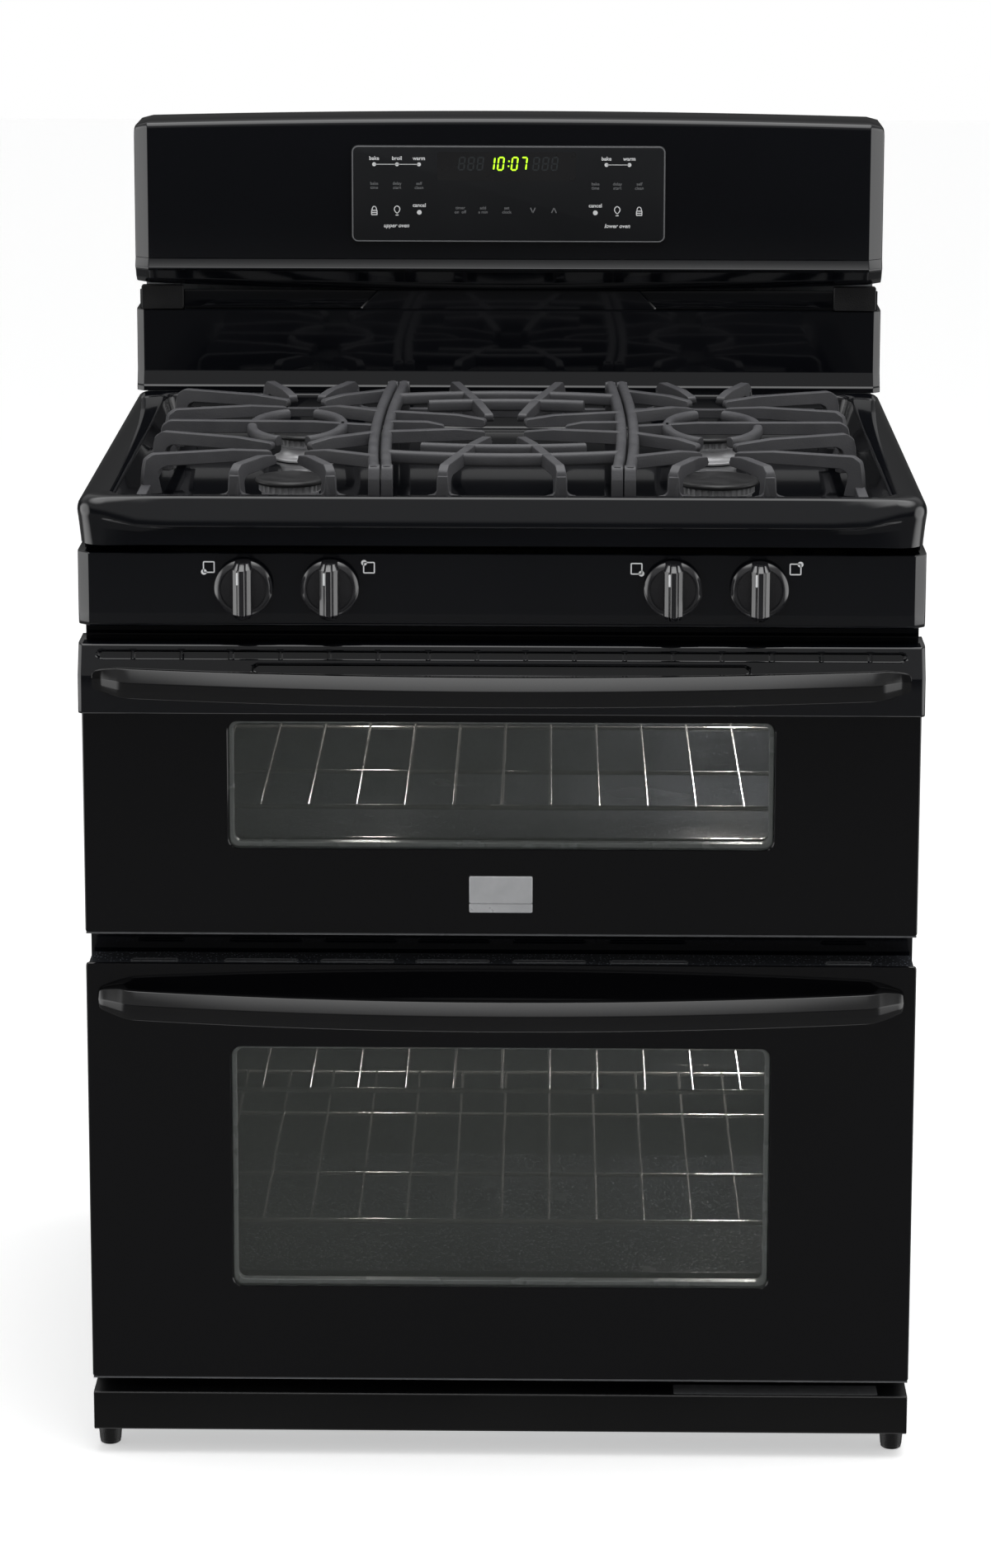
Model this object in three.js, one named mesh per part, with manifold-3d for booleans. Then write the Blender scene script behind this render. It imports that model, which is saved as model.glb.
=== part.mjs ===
// Freestanding gas range with two ovens, in millimetres.
// +X points right, +Y to the back and +Z up. The origin is on the floor under the middle of
// the overall box, whose front is the front of the door handles.
import * as THREE from 'three';
import { mergeVertices } from 'three/addons/utils/BufferGeometryUtils.js';
import Module from 'manifold-3d';

const wasm = await Module();
wasm.setup();

// ---- Driving dimensions ---------------------------------------------------------------
const WIDTH = 759; // over the cooktop, the knob panel and the console
const BODY_DEPTH = 660; // door face to back sheet
const HANDLE_REACH = 60; // door face to the front of a handle

// Heights of the front, from the floor up
const LEG_HEIGHT = 24;
const KICK_HEIGHT = 38;
const KICK_GAP = 16;
const LOWER_DOOR_HEIGHT = 398.5;
const DOOR_GAP = 29;
const UPPER_DOOR_HEIGHT = 269;
const TRIM_GAP = 15.5;
const KNOB_PANEL_HEIGHT = 68;
const PANEL_GAP = 8;
const COOKTOP_SKIRT = 43;
const RISER_HEIGHT = 83;
const VENT_GAP = 20;
const CONSOLE_HEIGHT = 171; // at the ends; the top edge arches up in the middle
const CONSOLE_DEPTH = 90;
const UPSTAND_SETBACK = 8; // riser and console back to the back sheet's face
const CONSOLE_ARCH = 5.5;
const CONSOLE_CORNER = 8;

// Sheet, clearances and insets
const FIT = 0.3; // gap between pieces that touch
const SHEET = 1.5;
const SIDE_INSET = 2; // doors and body sides lie this far inside WIDTH on each side
const DOOR_THICKNESS = 42;
const GLASS = 4;
const GASKET_GAP = 8; // closed door's back to the front frame
const GASKET_WIDTH = 12;
const GASKET_STEP = 1.8; // lower end set back, clear of the door's turning edge
const GASKET_RISE = 15; // height of that step above the oven floor
const PANEL_OVERHANG = 2; // knob panel in front of the door face
const COOKTOP_OVERHANG = 12;
const TRIM_OVERHANG = 14;
const KICK_SETBACK = 3;

// Ovens
const OVEN_WALL = 72.5; // body side to cavity
const OVEN_REAR = 138.2; // cavity back to the back sheet's face
const CAVITY_CORNER = 12;
const LINER = 2;
const LOWER_CAVITY_RISE = 34; // lower door bottom to cavity floor
const LOWER_CAVITY_DROP = 24; // cavity roof to lower door top
const UPPER_CAVITY_RISE = 17;
const UPPER_CAVITY_DROP = 46;
const LINER_FLANGE = 12;
const INSULATION = 36;
const WINDOW_SIDE = 59; // cavity wall to window edge
const UPPER_WINDOW_FOOT = 79.5; // door bottom to window bottom
const UPPER_WINDOW_HEAD = 71.5; // window top to door top
const LOWER_WINDOW_FOOT = 89.5;
const LOWER_WINDOW_HEAD = 79;
const WINDOW_CORNER = 10;
const PANE_LAP = 12; // inner pane past its hole, all round

// Racks
const RACK_WIRE_R = 3;
const RACK_ROD_SLIM = 0.8; // frame wire radius less rod radius
const RACK_PITCH = 44.6;
const RACK_WALL_GAP = 6; // rack frame to liner wall
const RACK_TRAVEL = 14; // free slide behind the closed door
const RACK_BACK_GAP = 12;
const LEDGE_DEPTH = 12;
const LEDGE_HEIGHT = 5;
const UPPER_RACK_HEIGHT = 82; // cavity floor to rack
const LOWER_RACK_HEIGHTS = [92, 220];

// Doors
const PIVOT_RISE = 10; // door bottom to hinge axis
const PIVOT_DEPTH = 20; // door face to hinge axis
const HINGE_EDGE = 24; // door edge to hinge arm
const HINGE_ARM = 4;
const HINGE_PIN_R = 3.5;
const HINGE_TAIL = 75; // hinge axis to the back end of the arm
const TRIM_HEIGHT = 62;
const HANDLE_HEIGHT = 27;
const HANDLE_BAR = 17;
const HANDLE_END_REACH = 26;
const HANDLE_END_BAR = 9;
const HANDLE_END_INSET = 11; // handle end to door edge
const HANDLE_FOOT = 30;
const UPPER_HANDLE_DROP = 18; // door top to handle top
const LOWER_HANDLE_DROP = 19;

// Knobs and gas valves
const KNOB_X = [-230, -153, 153, 230];
const KNOB_RISE = 37.5; // panel bottom to knob centre
const KNOB_R = 26;
const KNOB_SKIRT = 9;
const KNOB_REACH = 31; // back of the skirt to the front of the grip
const GRIP_WIDTH = 17;
const PUSH_TRAVEL = 3;
const KNOB_STANDOFF = 0.5; // skirt to panel with the knob pushed in
const STEM_R = 4;
const STEM_CLEAR = 0.4;
const PIPE_R = 10;
const VALVE_SIZE = 26;

// Cooktop
const DECK_CORNER = 24;
const BULLNOSE_R = 13;
const DECK_SHEET = 2;
const WELL_DEPTH = 36;
const WELL_SIDE = 32; // well top edge to the cooktop's side
const WELL_FRONT = 24;
const WELL_SLOPE = 9; // well wall lean
const RISER_DEPTH = 72;
const COVE = 8;
const COVE_HEIGHT = 16;
const BURNER_X = 197;
const BURNER_PITCH_Y = 242; // front burners to rear burners
const BURNER_FORWARD = 20; // burners and grates in front of the well's middle
const BURNER_RISE = 27; // well floor to cap top
const CAP_HEIGHT = 5;
const BURNER_HOLE_CLEAR = 1.5;
const CAP_RADII = { fl: 33, fr: 39, rl: 30, rr: 35 };
const CAP_LIFT = 18;

// Grates
const GRATE_SIDE_GAP = 8; // grate to the well's side wall at the floor
const GRATE_END_GAP = 9;
const GRATE_TOP = 59; // well floor to the tops of the bars
const GRATE_DIP = 4; // finger tips below the bar tops
const GRATE_BAR = 9;
const GRATE_BAR_DEPTH = 12;
const GRATE_RAIL_LOW = 22; // well floor to the low rail's underside
const GRATE_RAIL_DEPTH = 9;
const GRATE_SEAM_X = 109; // seam between side and centre grates, at the ends
const GRATE_SEAM_BOW = 7;
const GRATE_SEAM_GAP = 1.2;
const GRATE_POST_X = 43; // posts either side of a burner's centre line
const CENTRE_POST_X = 53;
const FINGER_X = 17; // side finger tips from the burner axis
const FINGER_Y = 20;
const FINGER_END_Y = 44; // front and rear finger tips from the burner axis

// ---- Derived planes and levels ------------------------------------------------------------
const FACE_Y = (HANDLE_REACH - BODY_DEPTH) / 2;
const BACK_Y = FACE_Y + BODY_DEPTH;
const HALF = WIDTH / 2;
const SIDE_X = HALF - SIDE_INSET;
const KICK_Z = LEG_HEIGHT;
const LOWER_Z = KICK_Z + KICK_HEIGHT + KICK_GAP;
const LOWER_TOP = LOWER_Z + LOWER_DOOR_HEIGHT;
const UPPER_Z = LOWER_TOP + DOOR_GAP;
const UPPER_TOP = UPPER_Z + UPPER_DOOR_HEIGHT;
const PANEL_Z = UPPER_TOP + TRIM_GAP;
const PANEL_TOP = PANEL_Z + KNOB_PANEL_HEIGHT;
const DECK_Z = PANEL_TOP + PANEL_GAP;
const DECK_TOP = DECK_Z + COOKTOP_SKIRT;
const RISER_TOP = DECK_TOP + FIT + RISER_HEIGHT;
const CONSOLE_Z = RISER_TOP + VENT_GAP;
const CONSOLE_TOP = CONSOLE_Z + CONSOLE_HEIGHT;
const PAN_BACK_Y = FACE_Y + DOOR_THICKNESS;
const FRAME_Y = PAN_BACK_Y + GASKET_GAP;
const KNOB_Z = PANEL_Z + KNOB_RISE;
const FEED_X = KNOB_X[KNOB_X.length - 1] + 50; // pipe that feeds the manifold from the back
const DECK_FRONT_Y = FACE_Y - COOKTOP_OVERHANG;
const RISER_Y = BACK_Y - UPSTAND_SETBACK - RISER_DEPTH;
const DECK_BACK_Y = RISER_Y + 4;
const WELL_FLOOR = DECK_TOP - WELL_DEPTH;
const LINER_FRONT_Y = FRAME_Y + SHEET + FIT;
const CAVITY_BACK_Y = BACK_Y - OVEN_REAR;
const CAVITY_X = SIDE_X - OVEN_WALL;
const WINDOW_X = CAVITY_X - WINDOW_SIDE;

// ---- Small helpers -------------------------------------------------------------------------

/** A closed three.js geometry as a solid that can be joined and cut. */
function solid(geometry) {
  const bare = geometry.clone();
  bare.deleteAttribute('normal');
  bare.deleteAttribute('uv');
  const merged = mergeVertices(bare, 1e-4);
  return new wasm.Manifold(new wasm.Mesh({
    numProp: 3,
    vertProperties: new Float32Array(merged.attributes.position.array),
    triVerts: new Uint32Array(merged.index.array),
  }));
}

/** The sum of several solids. */
function join(...solids) {
  return solids.reduce((sum, item) => sum.add(item));
}

/** A solid less several others. */
function cut(body, ...tools) {
  return tools.reduce((rest, tool) => rest.subtract(tool), body);
}

/** A box between two limits on each axis. */
function box(x0, x1, y0, y1, z0, z1) {
  const geometry = new THREE.BoxGeometry(x1 - x0, y1 - y0, z1 - z0);
  geometry.translate((x0 + x1) / 2, (y0 + y1) / 2, (z0 + z1) / 2);
  return solid(geometry);
}

/** An outline from a list of [a, b] corners. */
function outline(corners) {
  return new THREE.Shape(corners.map(([a, b]) => new THREE.Vector2(a, b)));
}

/** A rectangle with round corners. */
function roundRect(a0, a1, b0, b1, radius) {
  const shape = new THREE.Shape();
  shape.moveTo(a0 + radius, b0);
  shape.lineTo(a1 - radius, b0);
  shape.absarc(a1 - radius, b0 + radius, radius, -Math.PI / 2, 0);
  shape.absarc(a1 - radius, b1 - radius, radius, 0, Math.PI / 2);
  shape.absarc(a0 + radius, b1 - radius, radius, Math.PI / 2, Math.PI);
  shape.absarc(a0 + radius, b0 + radius, radius, Math.PI, 1.5 * Math.PI);
  return shape;
}

const ARC_STEPS = 4;

/** An extruded outline: axis 'z' takes (x, y), 'y' takes (x, z) and 'x' takes (y, z). */
function prism(axis, shape, from, to, steps = ARC_STEPS) {
  const geometry = new THREE.ExtrudeGeometry(shape, {
    depth: to - from, bevelEnabled: false, curveSegments: steps,
  });
  const turn = new THREE.Matrix4();
  if (axis === 'y') {
    turn.makeRotationX(Math.PI / 2);
    geometry.applyMatrix4(turn);
    geometry.translate(0, to, 0);
  } else if (axis === 'x') {
    turn.makeBasis(new THREE.Vector3(0, 1, 0), new THREE.Vector3(0, 0, 1), new THREE.Vector3(1, 0, 0));
    geometry.applyMatrix4(turn);
    geometry.translate(from, 0, 0);
  } else {
    geometry.translate(0, 0, from);
  }
  return solid(geometry);
}

/** A cylinder along an axis between two ends, with its centre line at (a, b). */
function rod(axis, radius, a, b, from, to, sides = 16) {
  const geometry = new THREE.CylinderGeometry(radius, radius, to - from, sides);
  const middle = (from + to) / 2;
  if (axis === 'x') {
    geometry.rotateZ(Math.PI / 2);
    geometry.translate(middle, a, b);
  } else if (axis === 'y') {
    geometry.translate(a, middle, b);
  } else {
    geometry.rotateX(Math.PI / 2);
    geometry.translate(a, b, middle);
  }
  return solid(geometry);
}

/** A turned piece about +Z from [radius, height] corners that start and end on the axis. */
function turned(corners, sides = 20) {
  const points = corners.map(([radius, height]) => new THREE.Vector2(radius, height));
  const geometry = new THREE.LatheGeometry(points, sides);
  geometry.rotateX(Math.PI / 2);
  return solid(geometry);
}

/** Points along a quadratic bow from a0 to a1 whose middle stands `bow` away from level b. */
function bowPoints(a0, a1, b, bow, steps) {
  return Array.from({ length: steps + 1 }, (_, i) => {
    const t = (2 * i) / steps - 1;
    return [a0 + ((a1 - a0) * i) / steps, b + bow * (1 - t * t)];
  });
}

const FINISHES = {
  porcelain: { color: 0x0d0e11, roughness: 0.12, metalness: 0 },
  blackPaint: { color: 0x141518, roughness: 0.3, metalness: 0 },
  blackGlass: { color: 0x08090b, roughness: 0.05, metalness: 0 },
  castIron: { color: 0x1b1c1d, roughness: 0.7, metalness: 0.2 },
  capEnamel: { color: 0x17181a, roughness: 0.35, metalness: 0 },
  aluminium: { color: 0xc4c6c8, roughness: 0.35, metalness: 1 },
  steel: { color: 0x9b9da0, roughness: 0.4, metalness: 1 },
  chrome: { color: 0xd6d8da, roughness: 0.12, metalness: 1 },
  zinc: { color: 0x8f9499, roughness: 0.5, metalness: 1 },
  brass: { color: 0xb08d4a, roughness: 0.35, metalness: 1 },
  ovenEnamel: { color: 0x2a2d33, roughness: 0.3, metalness: 0 },
  glassFibre: { color: 0xd8c27a, roughness: 0.95, metalness: 0 },
  gasket: { color: 0x3a3a3a, roughness: 0.9, metalness: 0 },
  knobPlastic: { color: 0x101114, roughness: 0.15, metalness: 0 },
  darkPlastic: { color: 0x1a1a1a, roughness: 0.5, metalness: 0 },
};

const range = new THREE.Group();

/** Adds a finished piece to a parent group under its own name. */
function piece(name, body, finish, parent = range) {
  const mesh = body.getMesh();
  const geometry = new THREE.BufferGeometry();
  geometry.setAttribute('position', new THREE.BufferAttribute(mesh.vertProperties, 3));
  geometry.setIndex(new THREE.BufferAttribute(mesh.triVerts, 1));
  const item = new THREE.Mesh(geometry, new THREE.MeshStandardMaterial(FINISHES[finish]));
  item.name = name;
  parent.add(item);
  return item;
}

/** A group at a place, for pieces modelled about their own axis. */
function groupAt(x, y, z, parent = range) {
  const group = new THREE.Group();
  group.position.set(x, y, z);
  parent.add(group);
  return group;
}

// ---- Body ---------------------------------------------------------------------------------

const BODY_TOP = DECK_Z - FIT;
const BACK_SHEET_Y = BACK_Y - SHEET;
const SHELL_FRONT_Y = FRAME_Y + FIT;

/** Side panel: one sheet with a front and a rear flange turned inwards. */
function sidePanel(side) {
  const flange = 10;
  const outer = box(SIDE_X - flange, SIDE_X, SHELL_FRONT_Y, BACK_SHEET_Y - FIT, LEG_HEIGHT, BODY_TOP);
  const hollow = box(
    SIDE_X - flange - 1, SIDE_X - SHEET, SHELL_FRONT_Y + SHEET, BACK_SHEET_Y - FIT - SHEET,
    LEG_HEIGHT - 1, BODY_TOP + 1,
  );
  const relief = box(
    SIDE_X - flange - 1, SIDE_X - SHEET, SHELL_FRONT_Y - 1, SHELL_FRONT_Y + SHEET + 1,
    LEG_HEIGHT - 1, BODY_TOP + 1,
  );
  const panel = cut(outer, hollow, relief);
  return side > 0 ? panel : panel.mirror([1, 0, 0]);
}

/** Base pan: a tray that carries the legs. */
function basePan() {
  const x = SIDE_X - SHEET - FIT - 10;
  const back = BACK_SHEET_Y - FIT - SHEET - FIT;
  const tray = box(-x, x, SHELL_FRONT_Y + SHEET + FIT, back, LEG_HEIGHT, LEG_HEIGHT + 16);
  const hollow = box(
    -x + SHEET, x - SHEET, SHELL_FRONT_Y + 2 * SHEET + FIT, back - SHEET,
    LEG_HEIGHT + SHEET, LEG_HEIGHT + 17,
  );
  return cut(tray, hollow);
}

/** Levelling leg: a tapered foot under the body with a short collar. */
function leg() {
  const top = LEG_HEIGHT - FIT;
  return turned([[0, 0], [10, 0], [11.5, top - 4], [11.5, top], [0, top]], 16);
}

/** Kick panel: a low front with its ends and its top and bottom edges turned back. */
function kickPanel() {
  const x = SIDE_X;
  const front = FACE_Y + KICK_SETBACK;
  const back = SHELL_FRONT_Y - 2 * FIT - SHEET;
  const bar = box(-x, x, front, back, KICK_Z, KICK_Z + KICK_HEIGHT);
  const hollow = box(
    -x + SHEET, x - SHEET, front + SHEET, back + 1, KICK_Z + SHEET, KICK_Z + KICK_HEIGHT - SHEET,
  );
  return cut(bar, hollow);
}

/** The four limits of a cavity seen from the front: [x, floor, roof]. */
const CAVITIES = {
  lower: {
    floor: LOWER_Z + LOWER_CAVITY_RISE, roof: LOWER_TOP - LOWER_CAVITY_DROP,
  },
  upper: {
    floor: UPPER_Z + UPPER_CAVITY_RISE, roof: UPPER_TOP - UPPER_CAVITY_DROP,
  },
};
const PIVOT_Y = FACE_Y + PIVOT_DEPTH;
const PIVOTS_Z = { lower: LOWER_Z + PIVOT_RISE, upper: UPPER_Z + PIVOT_RISE };
const ARM_X = SIDE_X - HINGE_EDGE;

/** Front frame: the face that surrounds both oven mouths, with slots for the hinge arms. */
function frontFrame() {
  const top = PANEL_Z + KNOB_PANEL_HEIGHT / 4;
  const plate = box(-SIDE_X, SIDE_X, FRAME_Y - SHEET, FRAME_Y, KICK_Z, top);
  const tools = [];
  for (const [level, cavity] of Object.entries(CAVITIES)) {
    const mouth = roundRect(-CAVITY_X, CAVITY_X, cavity.floor, cavity.roof, CAVITY_CORNER);
    tools.push(prism('y', mouth, FRAME_Y - SHEET - 1, FRAME_Y + 1));
    for (const side of [-1, 1]) {
      const x = side * ARM_X;
      tools.push(box(
        x - HINGE_ARM, x + HINGE_ARM, FRAME_Y - SHEET - 1, FRAME_Y + 1,
        PIVOTS_Z[level] - 12, PIVOTS_Z[level] + 12,
      ));
    }
  }
  return cut(plate, ...tools);
}

/** Oven liner: a box open at the front, with a flange behind the frame and rack ledges. */
function ovenLiner(cavity, ledges) {
  const x = CAVITY_X;
  const shell = box(
    -x - LINER, x + LINER, LINER_FRONT_Y, CAVITY_BACK_Y + LINER, cavity.floor - LINER, cavity.roof + LINER,
  );
  const flange = box(
    -x - LINER_FLANGE, x + LINER_FLANGE, LINER_FRONT_Y, LINER_FRONT_Y + LINER,
    cavity.floor - LINER_FLANGE, cavity.roof + LINER_FLANGE,
  );
  const mouth = roundRect(-x, x, cavity.floor, cavity.roof, CAVITY_CORNER);
  const hollow = prism('y', mouth, LINER_FRONT_Y - 1, CAVITY_BACK_Y);
  const ribs = [];
  for (const height of ledges) {
    const top = cavity.floor + height - RACK_WIRE_R - FIT;
    for (const side of [-1, 1]) {
      const inner = side * (x - LEDGE_DEPTH);
      const outer = side * (x + LINER / 2);
      ribs.push(box(
        Math.min(inner, outer), Math.max(inner, outer), LINER_FRONT_Y + 12, CAVITY_BACK_Y - 8,
        top - LEDGE_HEIGHT, top,
      ));
    }
  }
  return join(cut(join(shell, flange), hollow), ...ribs);
}

/** Oven rack about the middle of its frame wires, drawn with square wires flush on top. */
function rack() {
  const r = RACK_WIRE_R;
  const x = CAVITY_X - RACK_WALL_GAP - r;
  const front = LINER_FRONT_Y + 8 + RACK_TRAVEL;
  const back = CAVITY_BACK_Y - RACK_BACK_GAP;
  const wire = (x0, x1, y0, y1, radius) => box(
    x0 - radius, x1 + radius, y0 - radius, y1 + radius, r - 2 * radius, r,
  );
  const parts = [front, (front + back) / 2, back].map((y) => wire(-x, x, y, y, r));
  for (const side of [-1, 1]) parts.push(wire(side * x, side * x, front, back, r));
  const count = Math.floor((x - 12) / RACK_PITCH);
  for (let i = -count; i <= count; i += 1) {
    parts.push(wire(i * RACK_PITCH, i * RACK_PITCH, front, back, r - RACK_ROD_SLIM));
  }
  return join(...parts);
}

/** Glass-fibre blanket around both ovens, open at the front and back. */
function insulation() {
  const x = CAVITY_X + INSULATION;
  const front = LINER_FRONT_Y + LINER + FIT;
  const lower = CAVITIES.lower.floor - INSULATION / 2;
  const upper = CAVITIES.upper.roof + INSULATION / 2;
  const block = box(-x, x, front, CAVITY_BACK_Y, lower, upper);
  const holes = Object.values(CAVITIES).map((cavity) => box(
    -CAVITY_X - LINER - FIT, CAVITY_X + LINER + FIT, front - 1, CAVITY_BACK_Y + 1,
    cavity.floor - LINER - FIT, cavity.roof + LINER + FIT,
  ));
  return cut(block, ...holes);
}

/** Door gasket: a braided loop round an oven mouth. */
function gasket(cavity) {
  const grow = 3;
  const outer = roundRect(
    -CAVITY_X - grow - GASKET_WIDTH, CAVITY_X + grow + GASKET_WIDTH,
    cavity.floor - grow - GASKET_WIDTH, cavity.roof + grow + GASKET_WIDTH, CAVITY_CORNER + GASKET_WIDTH,
  );
  outer.holes.push(roundRect(
    -CAVITY_X - grow, CAVITY_X + grow, cavity.floor - grow, cavity.roof + grow, CAVITY_CORNER,
  ));
  const front = PAN_BACK_Y + FIT;
  const step = box(
    -HALF, HALF, front - 1, front + GASKET_STEP,
    cavity.floor - grow - GASKET_WIDTH - 1, cavity.floor + GASKET_RISE,
  );
  return cut(prism('y', outer, front, FRAME_Y - SHEET - FIT, 3), step);
}

/** Burner tube with two feet-like cross arms, along the middle of an oven. */
function ovenBurner(z) {
  const front = LINER_FRONT_Y + 60;
  const back = CAVITY_BACK_Y - 30;
  return join(
    rod('y', 11, 0, z, front, back, 12),
    rod('x', 8, front + 60, z, -120, 120, 10),
    rod('x', 8, back - 60, z, -120, 120, 10),
  );
}

/** Back sheet with vent slots low down and a hole for the gas supply. */
function backPanel() {
  const x = SIDE_X - FIT;
  const sheet = box(-x, x, BACK_SHEET_Y, BACK_Y, LEG_HEIGHT + 20, BODY_TOP);
  const slots = [rod('y', PIPE_R + 8, FEED_X, KNOB_Z, BACK_SHEET_Y - 1, BACK_Y + 1, 14)];
  for (let i = 0; i < 5; i += 1) {
    for (const middle of [-190, 190]) {
      const z = LEG_HEIGHT + 60 + i * 24;
      slots.push(box(middle - 60, middle + 60, BACK_SHEET_Y - 1, BACK_Y + 1, z, z + 8));
    }
  }
  return cut(sheet, ...slots);
}

function buildBody() {
  piece('side_panel_left', sidePanel(-1), 'blackPaint');
  piece('side_panel_right', sidePanel(1), 'blackPaint');
  piece('back_panel', backPanel(), 'zinc');
  piece('base_pan', basePan(), 'zinc');
  piece('kick_panel', kickPanel(), 'blackPaint');
  const legX = SIDE_X - 12;
  const legFront = FACE_Y + 35;
  const legBack = BACK_Y - 30;
  for (const [name, x, y] of [
    ['leg_front_left', -legX, legFront], ['leg_front_right', legX, legFront],
    ['leg_rear_left', -legX, legBack], ['leg_rear_right', legX, legBack],
  ]) {
    piece(name, leg(), 'darkPlastic', groupAt(x, y, 0));
  }
  piece('front_frame', frontFrame(), 'porcelain');
  piece('oven_liner_lower', ovenLiner(CAVITIES.lower, LOWER_RACK_HEIGHTS), 'ovenEnamel');
  piece('oven_liner_upper', ovenLiner(CAVITIES.upper, [UPPER_RACK_HEIGHT]), 'ovenEnamel');
  piece('insulation_wrap', insulation(), 'glassFibre');
  piece('gasket_lower', gasket(CAVITIES.lower), 'gasket');
  piece('gasket_upper', gasket(CAVITIES.upper), 'gasket');
  piece('bake_burner', ovenBurner(CAVITIES.lower.floor - INSULATION / 2 - 16), 'steel');
  piece('broil_burner', ovenBurner(CAVITIES.upper.roof - 16), 'steel');
  const rackLevels = [
    ['rack_upper_oven', CAVITIES.upper.floor + UPPER_RACK_HEIGHT],
    ['rack_lower_bottom', CAVITIES.lower.floor + LOWER_RACK_HEIGHTS[0]],
    ['rack_lower_top', CAVITIES.lower.floor + LOWER_RACK_HEIGHTS[1]],
  ];
  for (const [name, z] of rackLevels) piece(name, rack(), 'chrome', groupAt(0, 0, z));
}

// ---- Doors --------------------------------------------------------------------------------

/** Door pan: the inner skin with its sides, a window hole, hinge slots, cheeks and pins. */
function doorPan(bottom, top, windowFoot, windowHead) {
  const x = SIDE_X - 2;
  const z0 = bottom + 2;
  const z1 = top - 2;
  const front = FACE_Y + GLASS + FIT;
  const back = PAN_BACK_Y;
  const pivotZ = bottom + PIVOT_RISE;
  const shell = cut(
    box(-x, x, front, back, z0, z1),
    box(-x + SHEET, x - SHEET, front - 1, back - SHEET, z0 + SHEET, z1 - SHEET),
    prism('y', roundRect(
      -WINDOW_X, WINDOW_X, bottom + windowFoot, top - windowHead, WINDOW_CORNER,
    ), back - SHEET - 1, back + 1),
  );
  const slotHalf = HINGE_ARM / 2 + 1.5;
  const reach = PIVOT_RISE + HINGE_PIN_R + 4;
  const extras = [];
  const slots = [];
  for (const side of [-1, 1]) {
    const armX = side * ARM_X;
    for (const cheek of [-1, 1]) {
      const at = armX + cheek * (slotHalf + 1);
      extras.push(box(at - 1, at + 1, PIVOT_Y - 8, back - SHEET / 2, z0 + SHEET / 2, pivotZ + 8));
    }
    slots.push(box(armX - slotHalf, armX + slotHalf, PIVOT_Y - 12, back + 1, z0 - 1, z0 + reach));
    extras.push(rod('x', HINGE_PIN_R, PIVOT_Y, pivotZ, armX - slotHalf - 1, armX + slotHalf + 1, 12));
  }
  return join(cut(shell, ...slots), ...extras);
}

/** Fixed hinge arm: a bar from the body to an eye around the door's pin. */
function hingeArm(pivotZ) {
  const half = HINGE_ARM / 2;
  const bar = join(
    rod('x', 7, PIVOT_Y, pivotZ, -half, half, 12),
    box(-half, half, PIVOT_Y, PIVOT_Y + HINGE_TAIL, pivotZ - 6, pivotZ + 6),
  );
  return cut(bar, rod('x', HINGE_PIN_R + FIT, PIVOT_Y, pivotZ, -half - 1, half + 1, 12));
}

/** Bow handle: a bar that bows forward between two blocks on the door. */
function bowHandle(mountY, top) {
  const x = SIDE_X - HANDLE_END_INSET;
  const foot = x - HANDLE_FOOT;
  const front = FACE_Y - HANDLE_REACH;
  const endFront = FACE_Y - HANDLE_END_REACH;
  const outer = bowPoints(-x + 6, x - 6, endFront, front - endFront, 18);
  const innerEnd = endFront + HANDLE_END_BAR;
  const inner = bowPoints(foot, -foot, innerEnd, front + HANDLE_BAR - innerEnd, 16);
  const shape = outline([
    [-x + 6, mountY], [-x, mountY - 2], [-x, endFront + 4], ...outer, [x, endFront + 4],
    [x, mountY - 2], [x - 6, mountY], [foot, mountY], ...inner, [-foot, mountY],
  ]);
  const blank = prism('z', shape, top - HANDLE_HEIGHT, top);
  const lean = outline([
    [front - 1, top - HANDLE_HEIGHT + 5], [front + 6, top - HANDLE_HEIGHT - 1], [FACE_Y + 9, top - HANDLE_HEIGHT - 1],
    [FACE_Y + 9, top + 1], [front + 9, top + 1], [front - 1, top - 7],
  ]);
  return blank.intersect(prism('x', lean, -x - 1, x + 1));
}

/** Top trim of the upper door: a sloped cap, hollow from behind, with two vent strips. */
function doorTrim() {
  const top = UPPER_TOP;
  const bottom = top - TRIM_HEIGHT;
  const front = FACE_Y - TRIM_OVERHANG;
  const back = FACE_Y + GLASS;
  const lip = top - 2 + FIT;
  const cap = prism('x', outline([
    [front, bottom + 2], [front + 2, bottom], [back, bottom], [back, lip], [PAN_BACK_Y, lip],
    [PAN_BACK_Y, top], [FACE_Y - 2, top], [front, top - 26],
  ]), -HALF, HALF);
  const hollow = prism('x', outline([
    [front + 2, bottom + 2], [back + 1, bottom + 2], [back + 1, top - 2], [FACE_Y - 2, top - 2],
    [front + 2, top - 26],
  ]), -HALF + 2, HALF - 2);
  const strips = [
    roundRect(-HALF + 18, HALF - 18, top - 13, top - 6, 3.4),
    roundRect(-222, 222, top - 25, top - 16, 4.4),
  ].map((shape) => prism('y', shape, front - 1, FACE_Y - 1, 3));
  return cut(cap, hollow, ...strips);
}

/** Inner window pane, resting on the pan's back wall. */
function windowPane(bottom, top, foot, head) {
  const back = PAN_BACK_Y - SHEET - FIT;
  return prism('y', roundRect(
    -WINDOW_X - PANE_LAP, WINDOW_X + PANE_LAP, bottom + foot - PANE_LAP, top - head + PANE_LAP,
    WINDOW_CORNER,
  ), back - GLASS, back, 2);
}

/** Outer glass panel of a door. */
function doorGlass(bottom, top) {
  return prism('y', roundRect(-SIDE_X, SIDE_X, bottom, top, 2.5), FACE_Y, FACE_Y + GLASS, 2);
}

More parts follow.
